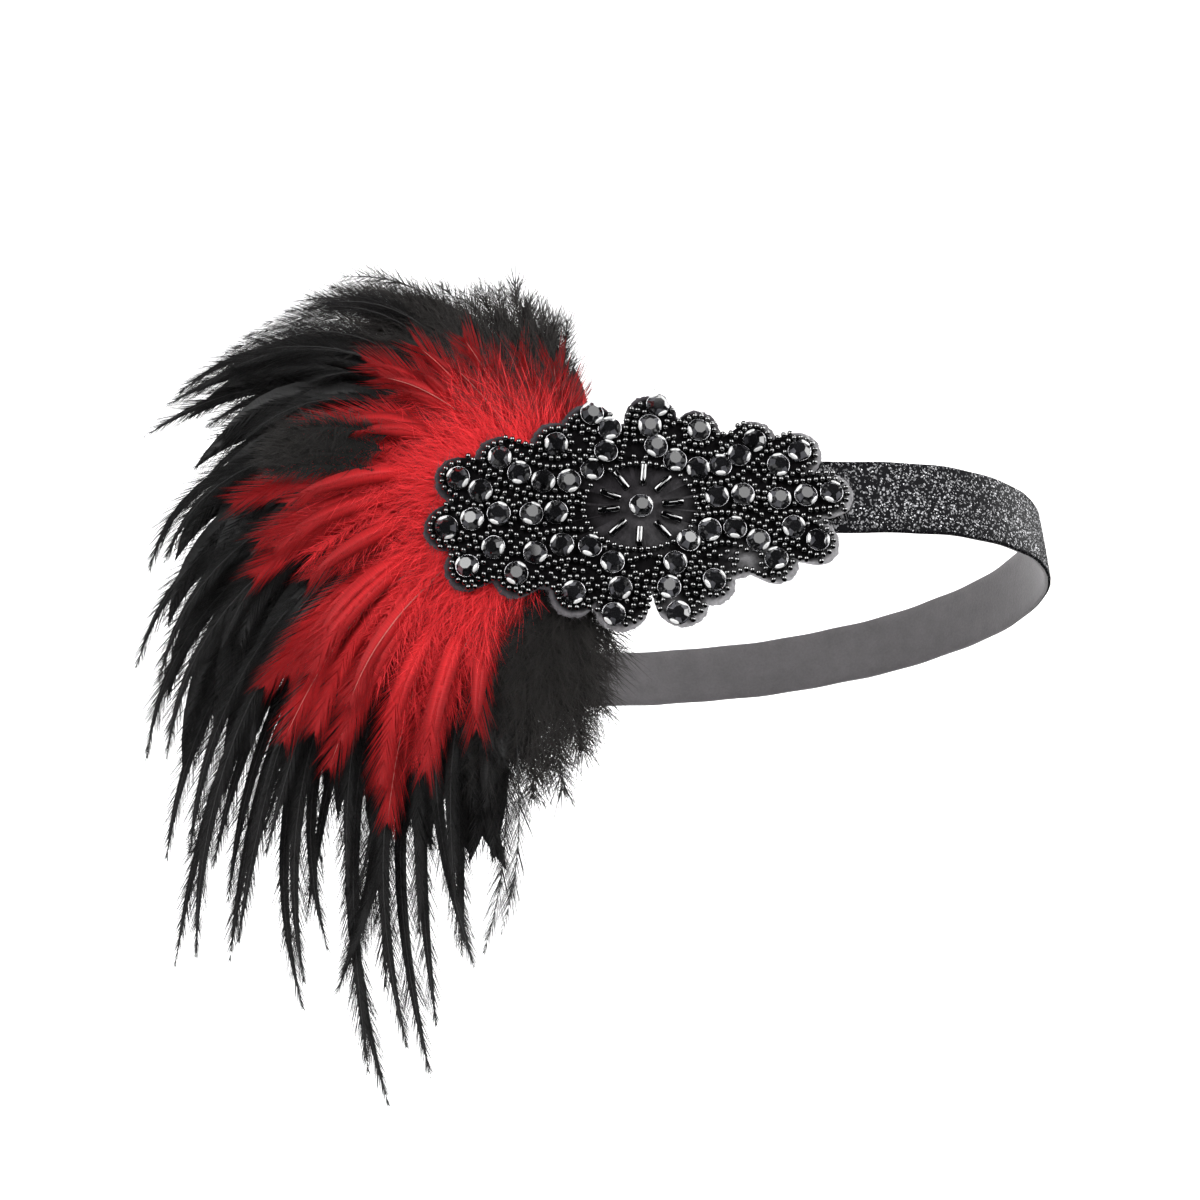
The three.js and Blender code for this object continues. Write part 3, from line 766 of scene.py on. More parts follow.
def plume(name, locks, vane, scales, spread, layer, seed, material, replaces=()):
    """Feathers of one kind as one piece: for each lock one feather of each scale, the full one unturned."""
    rng = np.random.default_rng(seed)
    bundles = []
    for lock in locks:
        for i, scale in enumerate(scales):
            drawn = lock if scale == 1 else varied(lock, rng, spread, scale)
            share = np.clip(0.12 + 0.8 * i / max(1, len(scales) - 1) + rng.normal(0, 0.08), 0, 1)
            bundles += feather(drawn, vane, layer, share, rng)
    return piece_from(strand_mesh(name, bundles), name, [material], replaces)


# Settings shown in the sidebar.


def length_setting(name, description, default):
    """A size in metres."""
    return FloatProperty(name=name, description=description, default=default, unit="LENGTH")


def colour_setting(name, description, default):
    """A colour, as linear red, green and blue."""
    return FloatVectorProperty(
        name=name, description=description, default=default, subtype="COLOR", size=3,
        min=0.0, max=1.0, precision=4,
    )


class BandSettings(bpy.types.PropertyGroup):
    width: length_setting("Width", "Height of the ribbon", 0.0185)
    thickness: length_setting("Thickness", "Thickness of the ribbon", 0.0016)
    flakes: IntProperty(name="Glitter flakes", description="Loose flakes on the outside", default=8000)
    flake_size: length_setting("Flake size", "Width of a flake", 0.00034)
    velvet: colour_setting("Velvet", "Colour of the velvet between the glitter", (0.006, 0.006, 0.007))
    glitter: colour_setting("Glitter", "Colour of the flakes", (0.56, 0.56, 0.58))
    lining: colour_setting("Lining", "Colour of the plain inside", (0.085, 0.079, 0.083))


class MotifSettings(bpy.types.PropertyGroup):
    felt: length_setting("Felt", "Thickness of the felt", 0.002)
    gap: length_setting("Seat gap", "Gap between felt and stones", 0.00045)
    stone: length_setting("Stone radius", "Radius of a stone's girdle", 0.0028)
    table: length_setting("Table radius", "Radius of a stone's table", 0.00145)
    girdle: length_setting("Girdle height", "Height of a stone's girdle", 0.0009)
    crown: length_setting("Crown height", "Height of a stone over its girdle", 0.0021)
    seed_bead: length_setting("Seed bead radius", "Outer radius of a seed bead", 0.00084)
    bugle: length_setting("Bugle radius", "Outer radius of a tube bead", 0.00095)
    bugle_length: length_setting("Bugle length", "Length of a tube bead", 0.0052)
    bugle_inner: length_setting("Star opening", "Distance of the tube beads from the centre", 0.0051)
    fuzz: IntProperty(name="Felt fibres", description="Loose fibres on the felt's edge", default=2200)
    # The bare felt colour is the felt where the light falls; the shaded felt is the same felt in painted
    # shade.
    felt_pale: colour_setting("Felt", "Colour of the bare felt", (0.34, 0.335, 0.345))
    felt_shaded: colour_setting("Shaded felt", "Colour of the felt near the feathers", (0.075, 0.068, 0.076))
    stone_colour: colour_setting("Stones", "Colour of the cut stones", (0.009, 0.009, 0.01))
    rim_colour: colour_setting("Stone rims", "Colour of the foil rim of a stone", (0.6, 0.6, 0.62))
    # The eyelets' near-white is partly a painted reflection on their silver rims.
    eyelet_colour: colour_setting("Eyelets", "Colour of a stone's thread holes", (0.85, 0.85, 0.85))
    bead_colour: colour_setting("Beads", "Colour of seed beads and tube beads", (0.003, 0.003, 0.0034))
    thread_colour: colour_setting("Thread", "Colour of the sewing thread", (0.03, 0.03, 0.03))


class PlumeSettings(bpy.types.PropertyGroup):
    black: colour_setting("Black hackles", "Colour of the long black feathers", (0.012, 0.0118, 0.012))
    black_down: colour_setting("Black down", "Colour of the fluffy black feathers", (0.026, 0.0244, 0.0234))
    red: colour_setting("Red hackles", "Colour of the red feathers near their root", (0.98, 0.03, 0.036))
    red_down: colour_setting("Red down", "Colour of the fluffy red feathers", (1.0, 0.048, 0.056))
    red_quill: colour_setting("Red quills", "Colour of the quills of the red feathers", (0.62, 0.16, 0.14))


class StageSettings(bpy.types.PropertyGroup):
    distance: length_setting("Camera distance", "Distance in front of the head opening", 0.49)
    offset: length_setting("Camera offset", "Sideways place of the camera", -0.024)
    lens: FloatProperty(name="Lens", description="Focal length in millimetres", default=52.17)
    floor: length_setting("Floor level", "Height of the floor", -0.15)
    floor_colour: colour_setting("Floor", "Colour of the floor and the back wall", (0.9, 0.9, 0.9))


class HeadbandSettings(bpy.types.PropertyGroup):
    band: PointerProperty(type=BandSettings, name="Band", description="Sizes and colours of the band")
    motif: PointerProperty(type=MotifSettings, name="Motif", description="Sizes and colours of the motif")
    plumes: PointerProperty(type=PlumeSettings, name="Feathers", description="Colours of the feathers")
    stage: PointerProperty(type=StageSettings, name="Stage", description="Camera and floor")


class HEADBAND_OT_band(bpy.types.Operator):
    """Make the glitter band and its loose flakes"""

    bl_idname = "headband.band"
    bl_label = "Band"

    def execute(self, context):
        sizes = context.scene.headband.band
        half, thick = sizes.width / 2 / MM, sizes.thickness / 2 / MM
        face = np.linspace(-1, 1, RIBBON["face_points"]) * (half - 0.5)
        outer = [(up, thick + RIBBON["crown"] * (1 - (up / half) ** 2)) for up in face]
        inner = [(up, -thick) for up in face[::-1]]
        top = [(half - 0.1, thick * 0.7), (half, 0.0), (half - 0.1, -thick * 0.7)]
        bottom = [(-up, -height) for up, height in top]
        section = np.array(outer + top + inner + bottom)
        # The lining goes from the middle of the upper edge to the middle of the lower edge.
        lined_from, lined_to = len(outer) + 1, len(section) - 2
        bm = bmesh.new()
        bmesh.ops.create_grid(bm, x_segments=RIBBON["steps"], y_segments=len(section), size=0.5)
        flat = np.array([v.co[:] for v in bm.verts])
        row = np.rint((flat[:, 1] + 0.5) * len(section)).astype(int) % len(section)
        distance = np.where(flat[:, 0] > 0.4999, 0.0, (flat[:, 0] + 0.5) * loop.girth)
        turn = distance / loop.girth * 2 * np.pi
        ripple = RIBBON["ripple"] * np.sin(turn * RIBBON["short_wave"]) * np.sin(turn * RIBBON["long_wave"])
        move_to(bm, on_band(distance, section[row, 0] + ripple, section[row, 1]) * MM)
        for f in bm.faces:
            rows = sorted(int(r) for r in row[[v.index for v in f.verts]])
            f.material_index = int(rows[0] >= lined_from and rows[-1] <= lined_to)
        bmesh.ops.remove_doubles(bm, verts=bm.verts[:], dist=1e-6)
        bmesh.ops.recalc_face_normals(bm, faces=bm.faces[:])
        inside = cloth_material(
            "band_inside", shade_of(sizes.lining, 0.6), sizes.lining, 1500.0, 0.35,
            Roughness=0.85, Sheen_Weight=0.25,
        )
        outside = glitter_material(sizes.velvet, sizes.glitter)
        band = piece_from_bmesh(bm, "band_ribbon", [outside, inside], ["band"])
        self.flakes(sizes)
        return {"FINISHED"}

    def flakes(self, sizes):
        """Small three-sided flakes on the outside, each with a point below."""
        rng = np.random.default_rng(FLAKE_DRAW)
        count = sizes.flakes
        size = sizes.flake_size / MM
        distance = rng.random(count) * loop.girth
        up = (rng.random(count) - 0.5) * (sizes.width / MM - FLAKE["margin"])
        point, along, rise, out = loop.frame(distance)
        lift = sizes.thickness / 2 / MM + FLAKE["lift"] + FLAKE["scatter"] * rng.random(count)
        centre = point + up[:, None] * rise + lift[:, None] * out
        facing = unit(out + FLAKE["tilt"] * rng.normal(0, 1, (count, 3)))
        spin = unit(np.cross(facing, rng.normal(0, 1, (count, 3))))
        across = np.cross(facing, spin)
        width = size * (0.6 + 0.8 * rng.random(count))[:, None]
        corners = []
        for turn in (0, 2 * math.pi / 3, 4 * math.pi / 3):
            way = math.cos(turn) * spin + math.sin(turn) * across
            corners.append(centre + width * FLAKE["corner"] * way)
        points = np.stack([*corners, centre - FLAKE["depth"] * facing], 1).reshape(-1, 3)
        pattern = np.array([0, 1, 2, 0, 3, 1, 1, 3, 2, 2, 3, 0])
        order = (pattern[None, :] + 4 * np.arange(count)[:, None]).ravel()
        mesh = mesh_from_arrays("band_glitter", points, order, np.full(4 * count, 3))
        mesh.polygons.foreach_set("use_smooth", np.zeros(4 * count, bool))
        silver = gloss_material(
            "glitter_flake", shade_of(sizes.glitter, 0.464), sizes.glitter, 3000.0,
            Metallic=0.6, Roughness=0.3,
        )
        piece_from(mesh, "band_glitter", [silver])


class HEADBAND_OT_felt(bpy.types.Operator):
    """Make the scalloped felt and the loose fibres of its cut edge"""

    bl_idname = "headband.felt"
    bl_label = "Felt"

    def execute(self, context):
        sizes = context.scene.headband.motif
        thick = sizes.felt / MM
        rows = [(share, 0.0) for share in np.linspace(0.12, 0.98, 8)]
        rows += [(1.0, 0.25), (1.006, 0.5), (1.0, 0.75)]
        rows += [(share, 1.0) for share in (0.98, 0.95, 0.92, 0.88, 0.8, 0.7, 0.58, 0.44, 0.28, 0.12)]
        bm = bmesh.new()
        line = [bm.verts.new((share, 0, level)) for share, level in rows]
        edges = [bm.edges.new(pair) for pair in zip(line, line[1:])]
        full_turn(bm, line + edges, FELT["steps"])
        rims = [e for e in bm.edges if e.is_boundary]
        bmesh.ops.holes_fill(bm, edges=rims, sides=0)
        flat = np.array([v.co[:] for v in bm.verts])
        angle = np.arctan2(flat[:, 1], flat[:, 0])
        reach = np.hypot(flat[:, 0], flat[:, 1]) * felt_reach(angle)
        waver = 0.22 * np.sin(angle * 61) * np.sin(angle * 23 + 1) + 0.12 * np.sin(angle * 137 + 2)
        reach = reach + waver * (flat[:, 2] > 0.1) * (flat[:, 2] < 0.9)
        along, up = reach * np.cos(angle), reach * np.sin(angle)
        move_to(bm, on_motif(along, up, flat[:, 2] * thick) * MM)
        bmesh.ops.recalc_face_normals(bm, faces=bm.faces[:])
        layer = bm.loops.layers.uv.new("strand")
        share = np.minimum(np.hypot(flat[:, 0], flat[:, 1]), 1)
        # Painted light: the felt is paler where the light falls, at the lower right.
        tone = self.tone(along, up)
        inset = (1 - share) * felt_reach(angle)
        # bare: where the felt keeps its grey, out of the painted shade under and between the beads; wider on
        # the lit side.
        bare = 1 - smooth(inset / (1 + 1.5 * tone), 0.3, 1.3)
        bare = np.maximum(bare, FELT["star"] * in_star(along, up))
        bare = np.maximum(bare, FELT["open"] * open_felt(along, up))
        bare = np.where(flat[:, 2] < 0.1, 1.0, bare)
        bm.verts.index_update()
        for face in bm.faces:
            for corner in face.loops:
                corner[layer].uv = (bare[corner.vert.index], tone[corner.vert.index])
        grey = felt_material(sizes.felt_shaded, sizes.felt_pale)
        piece = piece_from_bmesh(bm, "felt", [grey], ["felt_backing"])
        self.fuzz(sizes, thick)
        return {"FINISHED"}

    def tone(self, along, up):
        """How lit the felt is: painted light that makes it paler at the lower right, where the light falls,
        and darker, in painted shade, towards the feathers.
        """
        return smooth(0.75 * np.asarray(along) - 0.8 * np.asarray(up), -12.0, 36.0)

    def fuzz(self, sizes, thick):
        """Short fibres that stand out from the cut edge."""
        rng = np.random.default_rng(FUZZ_DRAW)
        count = sizes.fuzz
        angle = rng.random(count) * 2 * np.pi
        reach = felt_reach(angle)
        spread = angle + rng.normal(0, 0.035, count)
        level = rng.random(count) * thick
        length = 0.35 + 0.75 * rng.random(count) ** 2
        steps = []
        for share in (0.0, 0.5, 1.0):
            turn = angle + (spread - angle) * share
            away = reach - 0.25 + length * share
            rise = level + rng.normal(0, 0.22, count) * share
            steps.append(on_motif(away * np.cos(turn), away * np.sin(turn), rise))
        paths = np.stack(steps, 1)
        widths = np.tile([0.075, 0.05], (count, 1))
        normals = unit(np.array([0.0, -1.0, 0.2]) + 0.3 * rng.normal(0, 1, (count, 3)))
        # Painted light as on the felt: the fibres are paler where the light falls and darker in painted
        # shade.
        tone = self.tone(reach * np.cos(angle), reach * np.sin(angle))
        tone = np.clip(tone + rng.normal(0, 0.1, count), 0, 1)
        stops = [(0.0, shade_of(sizes.felt_shaded, 1.21)), (1.0, shade_of(sizes.felt_pale, 1.06))]
        fibre = feather_material("felt_fibre", stops, 0.7, 1.1, Roughness=0.9, Specular_IOR_Level=0.05)
        mesh = strand_mesh("felt_fuzz", [(paths, widths, normals, tone, BARB_SECTION)])
        piece_from(mesh, "felt_fuzz", [fibre])


class HEADBAND_OT_stones(bpy.types.Operator):
    """Make the cut stones with their foil rims and thread holes"""

    bl_idname = "headband.stones"
    bl_label = "Stones"
    # Places of the materials on a stone.
    BODY, RIM, HOLE, GLINT = range(4)

    def execute(self, context):
        sizes = context.scene.headband.motif
        black, rim, eyelet = sizes.stone_colour, sizes.rim_colour, sizes.eyelet_colour
        looks = [
            gloss_material("black_stone", shade_of(black, 0.34), black, 900.0, Roughness=0.04, IOR=1.75),
            gloss_material("stone_rim", shade_of(rim, 0.67), rim, 900.0, Metallic=1.0, Roughness=0.2),
            # The thread eyelets are matt near-white: a painted reflection on a real silver hole rim.
            gloss_material(
                "thread_eyelet", shade_of(eyelet, 0.72), eyelet, 900.0, Metallic=0.3, Roughness=0.25
            ),
            # Paler grey facets: painted glints standing in for reflections in the cut.
            gloss_material(
                "stone_glint", shade_of(black, 1.7), shade_of(black, 11.0), 900.0, Roughness=0.1, IOR=1.75
            ),
        ]
        rng = np.random.default_rng(STONE_DRAW)
        height = (sizes.felt + sizes.gap) / MM
        for node, places in stone_places().items():
            matrices = []
            for along, up in places:
                tilt = rng.normal(0, 0.09, 2)
                matrices.append(motif_matrix(along, up, height, rng.random() * 2 * math.pi, tilt))
            mesh = scatter_mesh(node + "_cut", self.cut(sizes), matrices)
            piece_from(mesh, node + "_cut", looks, [node])
        return {"FINISHED"}

    def cut(self, sizes):
        """A round stone: girdle, eight main facets, a table, a bright rim and two capped thread holes."""
        top = sizes.girdle + sizes.crown
        bm = bmesh.new()
        bmesh.ops.create_circle(bm, cap_ends=True, segments=CUT["sides"], radius=CUT["base"] * sizes.stone)
        raised = bmesh.ops.extrude_face_region(bm, geom=bm.faces[:])["geom"]
        girdle = [v for v in raised if isinstance(v, bmesh.types.BMVert)]
        lids = [f for f in raised if isinstance(f, bmesh.types.BMFace)]
        for vert in girdle:
            vert.co = vert.co.normalized() * sizes.stone
            vert.co.z = sizes.girdle
        bmesh.ops.delete(bm, geom=lids, context="FACES_ONLY")
        girdle.sort(key=lambda v: math.atan2(v.co.y, v.co.x) % (2 * math.pi))
        start = math.atan2(girdle[0].co.y, girdle[0].co.x)

        def ring(radius, height):
            angles = [start + math.pi / 4 * i for i in range(8)]
            return [bm.verts.new((radius * math.cos(a), radius * math.sin(a), height)) for a in angles]

        shoulder = ring(CUT["shoulder"] * sizes.stone, sizes.girdle + CUT["shoulder_rise"] * sizes.crown)
        table = ring(sizes.table, top)
        for i in range(8):
            after = (i + 1) % 8
            bm.faces.new((shoulder[i], girdle[2 * i - 1], girdle[2 * i]))
            bm.faces.new((shoulder[i], girdle[2 * i], girdle[2 * i + 1]))
            star = bm.faces.new((shoulder[i], girdle[2 * i + 1], shoulder[after]))
            # A few facets take the paler stone_glint look: painted glints.
            star.material_index = self.GLINT if i in (1, 4) else self.BODY
            main = bm.faces.new((shoulder[i], shoulder[after], table[after], table[i]))
            main.material_index = self.GLINT if i in (0, 3, 5) else self.BODY
        bm.faces.new(table)
        bmesh.ops.recalc_face_normals(bm, faces=bm.faces[:])
        self.add_rim(bm, sizes)
        rise = (1 - CUT["shoulder_rise"]) * sizes.crown
        lean = math.atan2(rise, CUT["shoulder"] * sizes.stone - sizes.table)
        for side in (0.0, math.pi):
            spot = Matrix.Translation(
                (CUT["hole_at"] * sizes.stone, 0, sizes.girdle + CUT["hole_rise"] * sizes.crown)
            )
            place = Matrix.Rotation(side, 4, "Z") @ spot @ Matrix.Rotation(lean, 4, "Y")
            before, faces = set(bm.verts), set(bm.faces)
            bmesh.ops.create_uvsphere(bm, u_segments=10, v_segments=6, radius=CUT["hole"])
            dish = [v for v in bm.verts if v not in before]
            bmesh.ops.scale(bm, verts=dish, vec=CUT["hole_flat"])
            bmesh.ops.transform(bm, matrix=place, verts=dish)
            for face in set(bm.faces) - faces:
                face.material_index = self.HOLE
                face.smooth = True
        return bm

    def add_rim(self, bm, sizes):
        """A thin bright ring round the girdle."""
        before, faces = set(bm.verts), set(bm.faces)
        upright = Matrix.Translation((CUT["rim"] * sizes.stone, 0, 0)) @ Matrix.Rotation(math.pi / 2, 4, "X")
        circle = bmesh.ops.create_circle(bm, segments=6, radius=CUT["rim_wire"], matrix=upright)["verts"]
        edges = list(dict.fromkeys(e for v in circle for e in v.link_edges))
        full_turn(bm, circle + edges, CUT["rim_steps"])
        added = [f for f in bm.faces if f not in faces]
        bmesh.ops.recalc_face_normals(bm, faces=added)
        for face in added:
            face.material_index = self.RIM
            face.smooth = True
        bmesh.ops.translate(bm, vec=(0, 0, sizes.girdle), verts=[v for v in bm.verts if v not in before])


class HEADBAND_OT_beads(bpy.types.Operator):
    """Make the strings of seed beads that outline the pattern, the tube beads and the thread"""

    bl_idname = "headband.beads"
    bl_label = "Beads"

    def execute(self, context):
        sizes = context.scene.headband.motif
        black = gloss_material(
            "black_glass", shade_of(sizes.bead_colour, 0.34), sizes.bead_colour, 700.0,
            Roughness=0.05, IOR=2.6,
        )
        self.bugles(sizes, black)
        self.seed_beads(sizes, black)
        self.threads(sizes)
        return {"FINISHED"}

    def tube(self, outer, inner, length, sides, bevel):
        """A bead drilled through along Z, with its ends rounded."""
        bm = bmesh.new()
        bmesh.ops.create_cone(bm, cap_ends=False, segments=sides, radius1=outer, radius2=outer, depth=length)
        bmesh.ops.solidify(bm, geom=bm.faces[:], thickness=outer - inner)
        bmesh.ops.recalc_face_normals(bm, faces=bm.faces[:])
        level = [e for e in bm.edges if abs(e.verts[0].co.z - e.verts[1].co.z) < 1e-7]
        rims = [e for e in level if all(math.hypot(v.co.x, v.co.y) > 0.9 * outer for v in e.verts)]
        bmesh.ops.bevel(
            bm, geom=rims, offset=bevel, offset_type="OFFSET", segments=2, profile=0.5,
            affect="EDGES", material=-1,
        )
        smooth_all(bm)
        return bm

    def bugles(self, sizes, black):
        """The tube beads of the star, one piece each."""
        middle = (sizes.bugle_inner + sizes.bugle_length / 2) / MM
        height = (sizes.felt + sizes.gap + sizes.bugle) / MM
        lay = Matrix.Rotation(math.pi / 2, 4, "Y")
        for i, degrees in enumerate(BUGLE_ANGLES, 1):
            angle = math.radians(degrees)
            place = motif_matrix(middle * math.cos(angle), middle * math.sin(angle), height, angle)
            bm = self.tube(sizes.bugle, inner=0.00038, length=sizes.bugle_length, sides=16, bevel=0.00022)
            mesh = scatter_mesh(f"bugle_bead_{i:02d}", bm, [place @ lay])
            piece_from(mesh, f"bugle_bead_{i:02d}", [black], [f"bugle_{i:02d}"])

    def strings(self):
        """Lines that the seed beads follow, most important first: round each row, petal and the star."""
        spots = {stone.name: (stone.along, stone.up) for stone in STONES}
        paths = [row_points(row, 120) for row in ROWS]
        for row in ROWS:
            paths.append(np.array([spots["petal_tip_" + row.name], spots["petal_heel_" + row.name]]))
            paths.append(np.array([spots["shoulder_" + row.name]]))
        for side in ("axis_left_", "axis_right_"):
            paths.append(np.array([spots[side + "3"], spots[side + "5"]]))
            paths.append(np.array([spots[side + "1"], spots[side + "2"]]))
        turn = np.linspace(0, 2 * np.pi, 300)
        yield np.stack([STAR["string_long"] * np.cos(turn), STAR["string_short"] * np.sin(turn)], -1)
        for path in paths:
            yield self.outline(path, SEED["string"])
        edge = felt_reach(turn) - 1.5 - 0.25 * np.cos(turn) - 0.25 * np.maximum(np.sin(turn), 0)
        yield np.stack([edge * np.cos(turn), edge * np.sin(turn)], -1)

    def outline(self, path, away):
        """The line at one distance all round a path, with round ends."""
        if len(path) == 1:
            turn = np.linspace(0, 2 * np.pi, 120)
            return path[0] + away * np.stack([np.cos(turn), np.sin(turn)], -1)
        path = even(path, 80)
        ahead = unit(np.gradient(path, axis=0))
        aside = np.stack([-ahead[:, 1], ahead[:, 0]], -1) * away
        half = np.linspace(0, np.pi, 30)[1:-1, None]
        end = path[-1] + np.cos(half) * aside[-1] + np.sin(half) * ahead[-1] * away
        start = path[0] - np.cos(half) * aside[0] - np.sin(half) * ahead[0] * away
        return np.vstack([path + aside, end, (path - aside)[::-1], start, (path + aside)[:1]])

    def seed_beads(self, sizes, black):
        """Beads along the strings, then loose ones wherever there is room."""
        size = sizes.seed_bead / MM
        stones = np.array([p for places in stone_places().values() for p in places])
        taken, angles = [], []

        def fits(place, clear):
            reach = math.hypot(*place)
            inset = SEED["inset"] + SEED["upper_inset"] * max(place[1] / reach, 0)
            if reach > felt_reach(math.atan2(place[1], place[0])) - inset:
                return False
            if np.hypot(*(stones - place).T).min() < sizes.stone / MM + SEED["stone_clear"] * size:
                return False
            if in_star(*place):
                return False
            if abs(place[0]) < SEED["gap_half"] and SEED["gap_from"] < abs(place[1]) < SEED["gap_to"]:
                return False
            if open_felt(*place) > 0.5:
                return False
            return not taken or np.hypot(*(np.array(taken) - place).T).min() > clear

        for line in self.strings():
            run = np.linalg.norm(np.diff(line, axis=0), axis=1).sum()
            spots = even(line, int(run / SEED["step"]))
            ahead = np.gradient(spots, axis=0)
            for spot, way in zip(spots, ahead):
                if fits(spot, SEED["clear"] * size):
                    taken.append(spot)
                    angles.append(math.atan2(way[1], way[0]))
        rng = np.random.default_rng(BEAD_DRAW)
        for spot in rng.uniform((-52, -31), (52, 31), (SEED["tries"], 2)):
            if fits(spot, SEED["loose_clear"] * size):
                taken.append(spot)
                angles.append(rng.random() * math.pi)
        lay = Matrix.Rotation(math.pi / 2, 4, "Y")
        height = (sizes.felt + sizes.gap * 0.5 + sizes.seed_bead) / MM
        matrices = []
        for (along, up), angle in zip(taken, angles):
            tilt = rng.normal(0, 0.12, 2)
            lift = height + rng.normal(0, 0.08)
            matrices.append(motif_matrix(along, up, lift, angle + rng.normal(0, 0.12), tilt) @ lay)
        bm = bmesh.new()
        bmesh.ops.create_uvsphere(bm, u_segments=8, v_segments=6, radius=sizes.seed_bead)
        bmesh.ops.scale(bm, verts=bm.verts[:], vec=(1.0, 1.0, 0.82))
        smooth_all(bm)
        mesh = scatter_mesh("seed_beads", bm, matrices)
        piece_from(mesh, "seed_beads", [black])

    def threads(self, sizes):
        """Short stitches beside the stones, and one loose end at the top of the motif."""
        rng = np.random.default_rng(THREAD_DRAW)
        paths = []
        height = (sizes.felt + sizes.gap) / MM
        reach = np.array([2.0, 2.6, 2.95, 3.1])
        level = height + np.array([2.0, 1.5, 0.6, -0.3])
        for places in stone_places().values():
            for along, up in places:
                turn = rng.random() * math.pi
                for way in (turn, turn + math.pi):
                    paths.append(on_motif(along + reach * math.cos(way), up + reach * math.sin(way), level))
        loose = np.array([(5.6, 28.6, 2.2), (6.4, 30.0, 3.0), (6.0, 31.2, 3.4), (7.2, 32.2, 3.2)])
        paths = np.stack([*paths, on_motif(*loose.T)])
        widths = np.tile([0.22, 0.2, 0.17], (len(paths), 1))
        normals = np.tile([0.0, -1.0, 0.2], (len(paths), 1))
        stops = [(0.0, shade_of(sizes.thread_colour, 0.33)), (1.0, sizes.thread_colour)]
        black = feather_material("thread", stops, 0.6, 1.2, Roughness=0.6)
        tint = rng.random(len(paths))
        mesh = strand_mesh("sewing_thread", [(paths, widths, normals, tint, BARB_SECTION)])
        piece_from(mesh, "sewing_thread", [black])


class HEADBAND_OT_black_plume(bpy.types.Operator):
    """Make the black feathers: long hackles to the side and below, fluffy ones at the top and the foot"""

    bl_idname = "headband.black_plume"
    bl_label = "Black plume"

    def execute(self, context):
        colours = context.scene.headband.plumes
        shades = [(0.0, 0.9), (0.6, 0.76), (0.92, 1.0), (0.98, 1.85)]
        stops = [(at, shade_of(colours.black, share)) for at, share in shades]
        # Both black looks are paler at the barb tips: painted highlights.
        black = feather_material("black_barb", stops, 0.5, 1.7, Roughness=0.55, Specular_IOR_Level=0.2)
        stops = [(0.2, shade_of(colours.black_down, 0.535)), (0.9, colours.black_down)]
        down = feather_material("black_down", stops, 0.35, 2.8, Roughness=0.7, Specular_IOR_Level=0.12)
        long = BLACK_TOP[3:] + BLACK_LONG + BLACK_LAST
        covered = [shortened(lock, 96.0) for lock in BLACK_TOP + BLACK_LONG + BLACK_LAST]
        crest = BLACK_TOP + between(BLACK_TOP)
        crest.sort(key=lambda lock: lock.x)
        crest += between(crest)
        covered += between(covered)
        kinds = [
            ("plume_black_hackles", BLACK_LONG, HACKLE_BLACK, (1.0, 0.95), 2.5, 101, black),
            ("plume_black_fringe", between(long), HACKLE_BLACK, (0.9, 0.78), 2.5, 102, black),
            ("plume_black_veil", BLACK_VEIL, VEIL_BLACK, (1.0, 0.94), 1.5, 103, black),
            ("plume_black_body", BLACK_FILL, COVERT_BLACK, (1.0, 0.9, 0.78, 0.64), 2.5, 201, black),
            ("plume_black_coverts", covered, COVERT_BLACK, (0.9, 0.77, 0.64), 3.0, 202, black),
            ("plume_black_crest", crest, CREST_BLACK, (1.0, 0.95, 0.87, 0.77), 3.0, 303, down),
            ("plume_black_foot", BLACK_FOOT, FOOT_BLACK, (1.0, 0.93, 0.85, 0.76, 0.66, 0.55), 4.0, 304, down),
        ]
        for name, locks, vane, scales, spread, seed, look in kinds:
            stands_for = ["plume_black"] if name.endswith("hackles") else []
            plume(name, locks, vane, scales, spread, BLACK_LAYER, seed, look, stands_for)
        plume("plume_black_tuft", BLACK_TUFT, TUFT_BLACK, (1.0,), 0.0, TUFT_LAYER, 305, down)
        return {"FINISHED"}


class HEADBAND_OT_red_plume(bpy.types.Operator):
    """Make the red feathers: short hackles over a fluffy middle"""

    bl_idname = "headband.red_plume"
    bl_label = "Red plume"

    def execute(self, context):
        colours = context.scene.headband.plumes
        shades = [(0.18, 1.0), (0.55, 0.62), (0.92, 0.22)]
        stops = [(at, shade_of(colours.red, share)) for at, share in shades] + [(0.98, colours.red_quill)]
        red = feather_material("red_barb", stops, 0.7, 0.9, Roughness=0.6, Specular_IOR_Level=0.12)
        stops = [(0.2, colours.red_down), (0.92, shade_of(colours.red_down, 0.75))]
        soft = feather_material("red_down", stops, 0.85, 1.15, Roughness=0.7, Specular_IOR_Level=0.12)
        downy = RED_LOCKS + RED_FILL
        kinds = [
            ("plume_red_hackles", RED_LOCKS, HACKLE_RED, (1.0, 0.91, 0.81), 4.0, 404, red, ["plume_red"]),
            ("plume_red_down", downy, DOWN_RED, (0.8, 0.72, 0.63, 0.54, 0.45), 5.0, 505, soft, []),
        ]
        for name, locks, vane, scales, spread, seed, look, stands_for in kinds:
            plume(name, locks, vane, scales, spread, RED_LAYER, seed, look, stands_for)
        return {"FINISHED"}


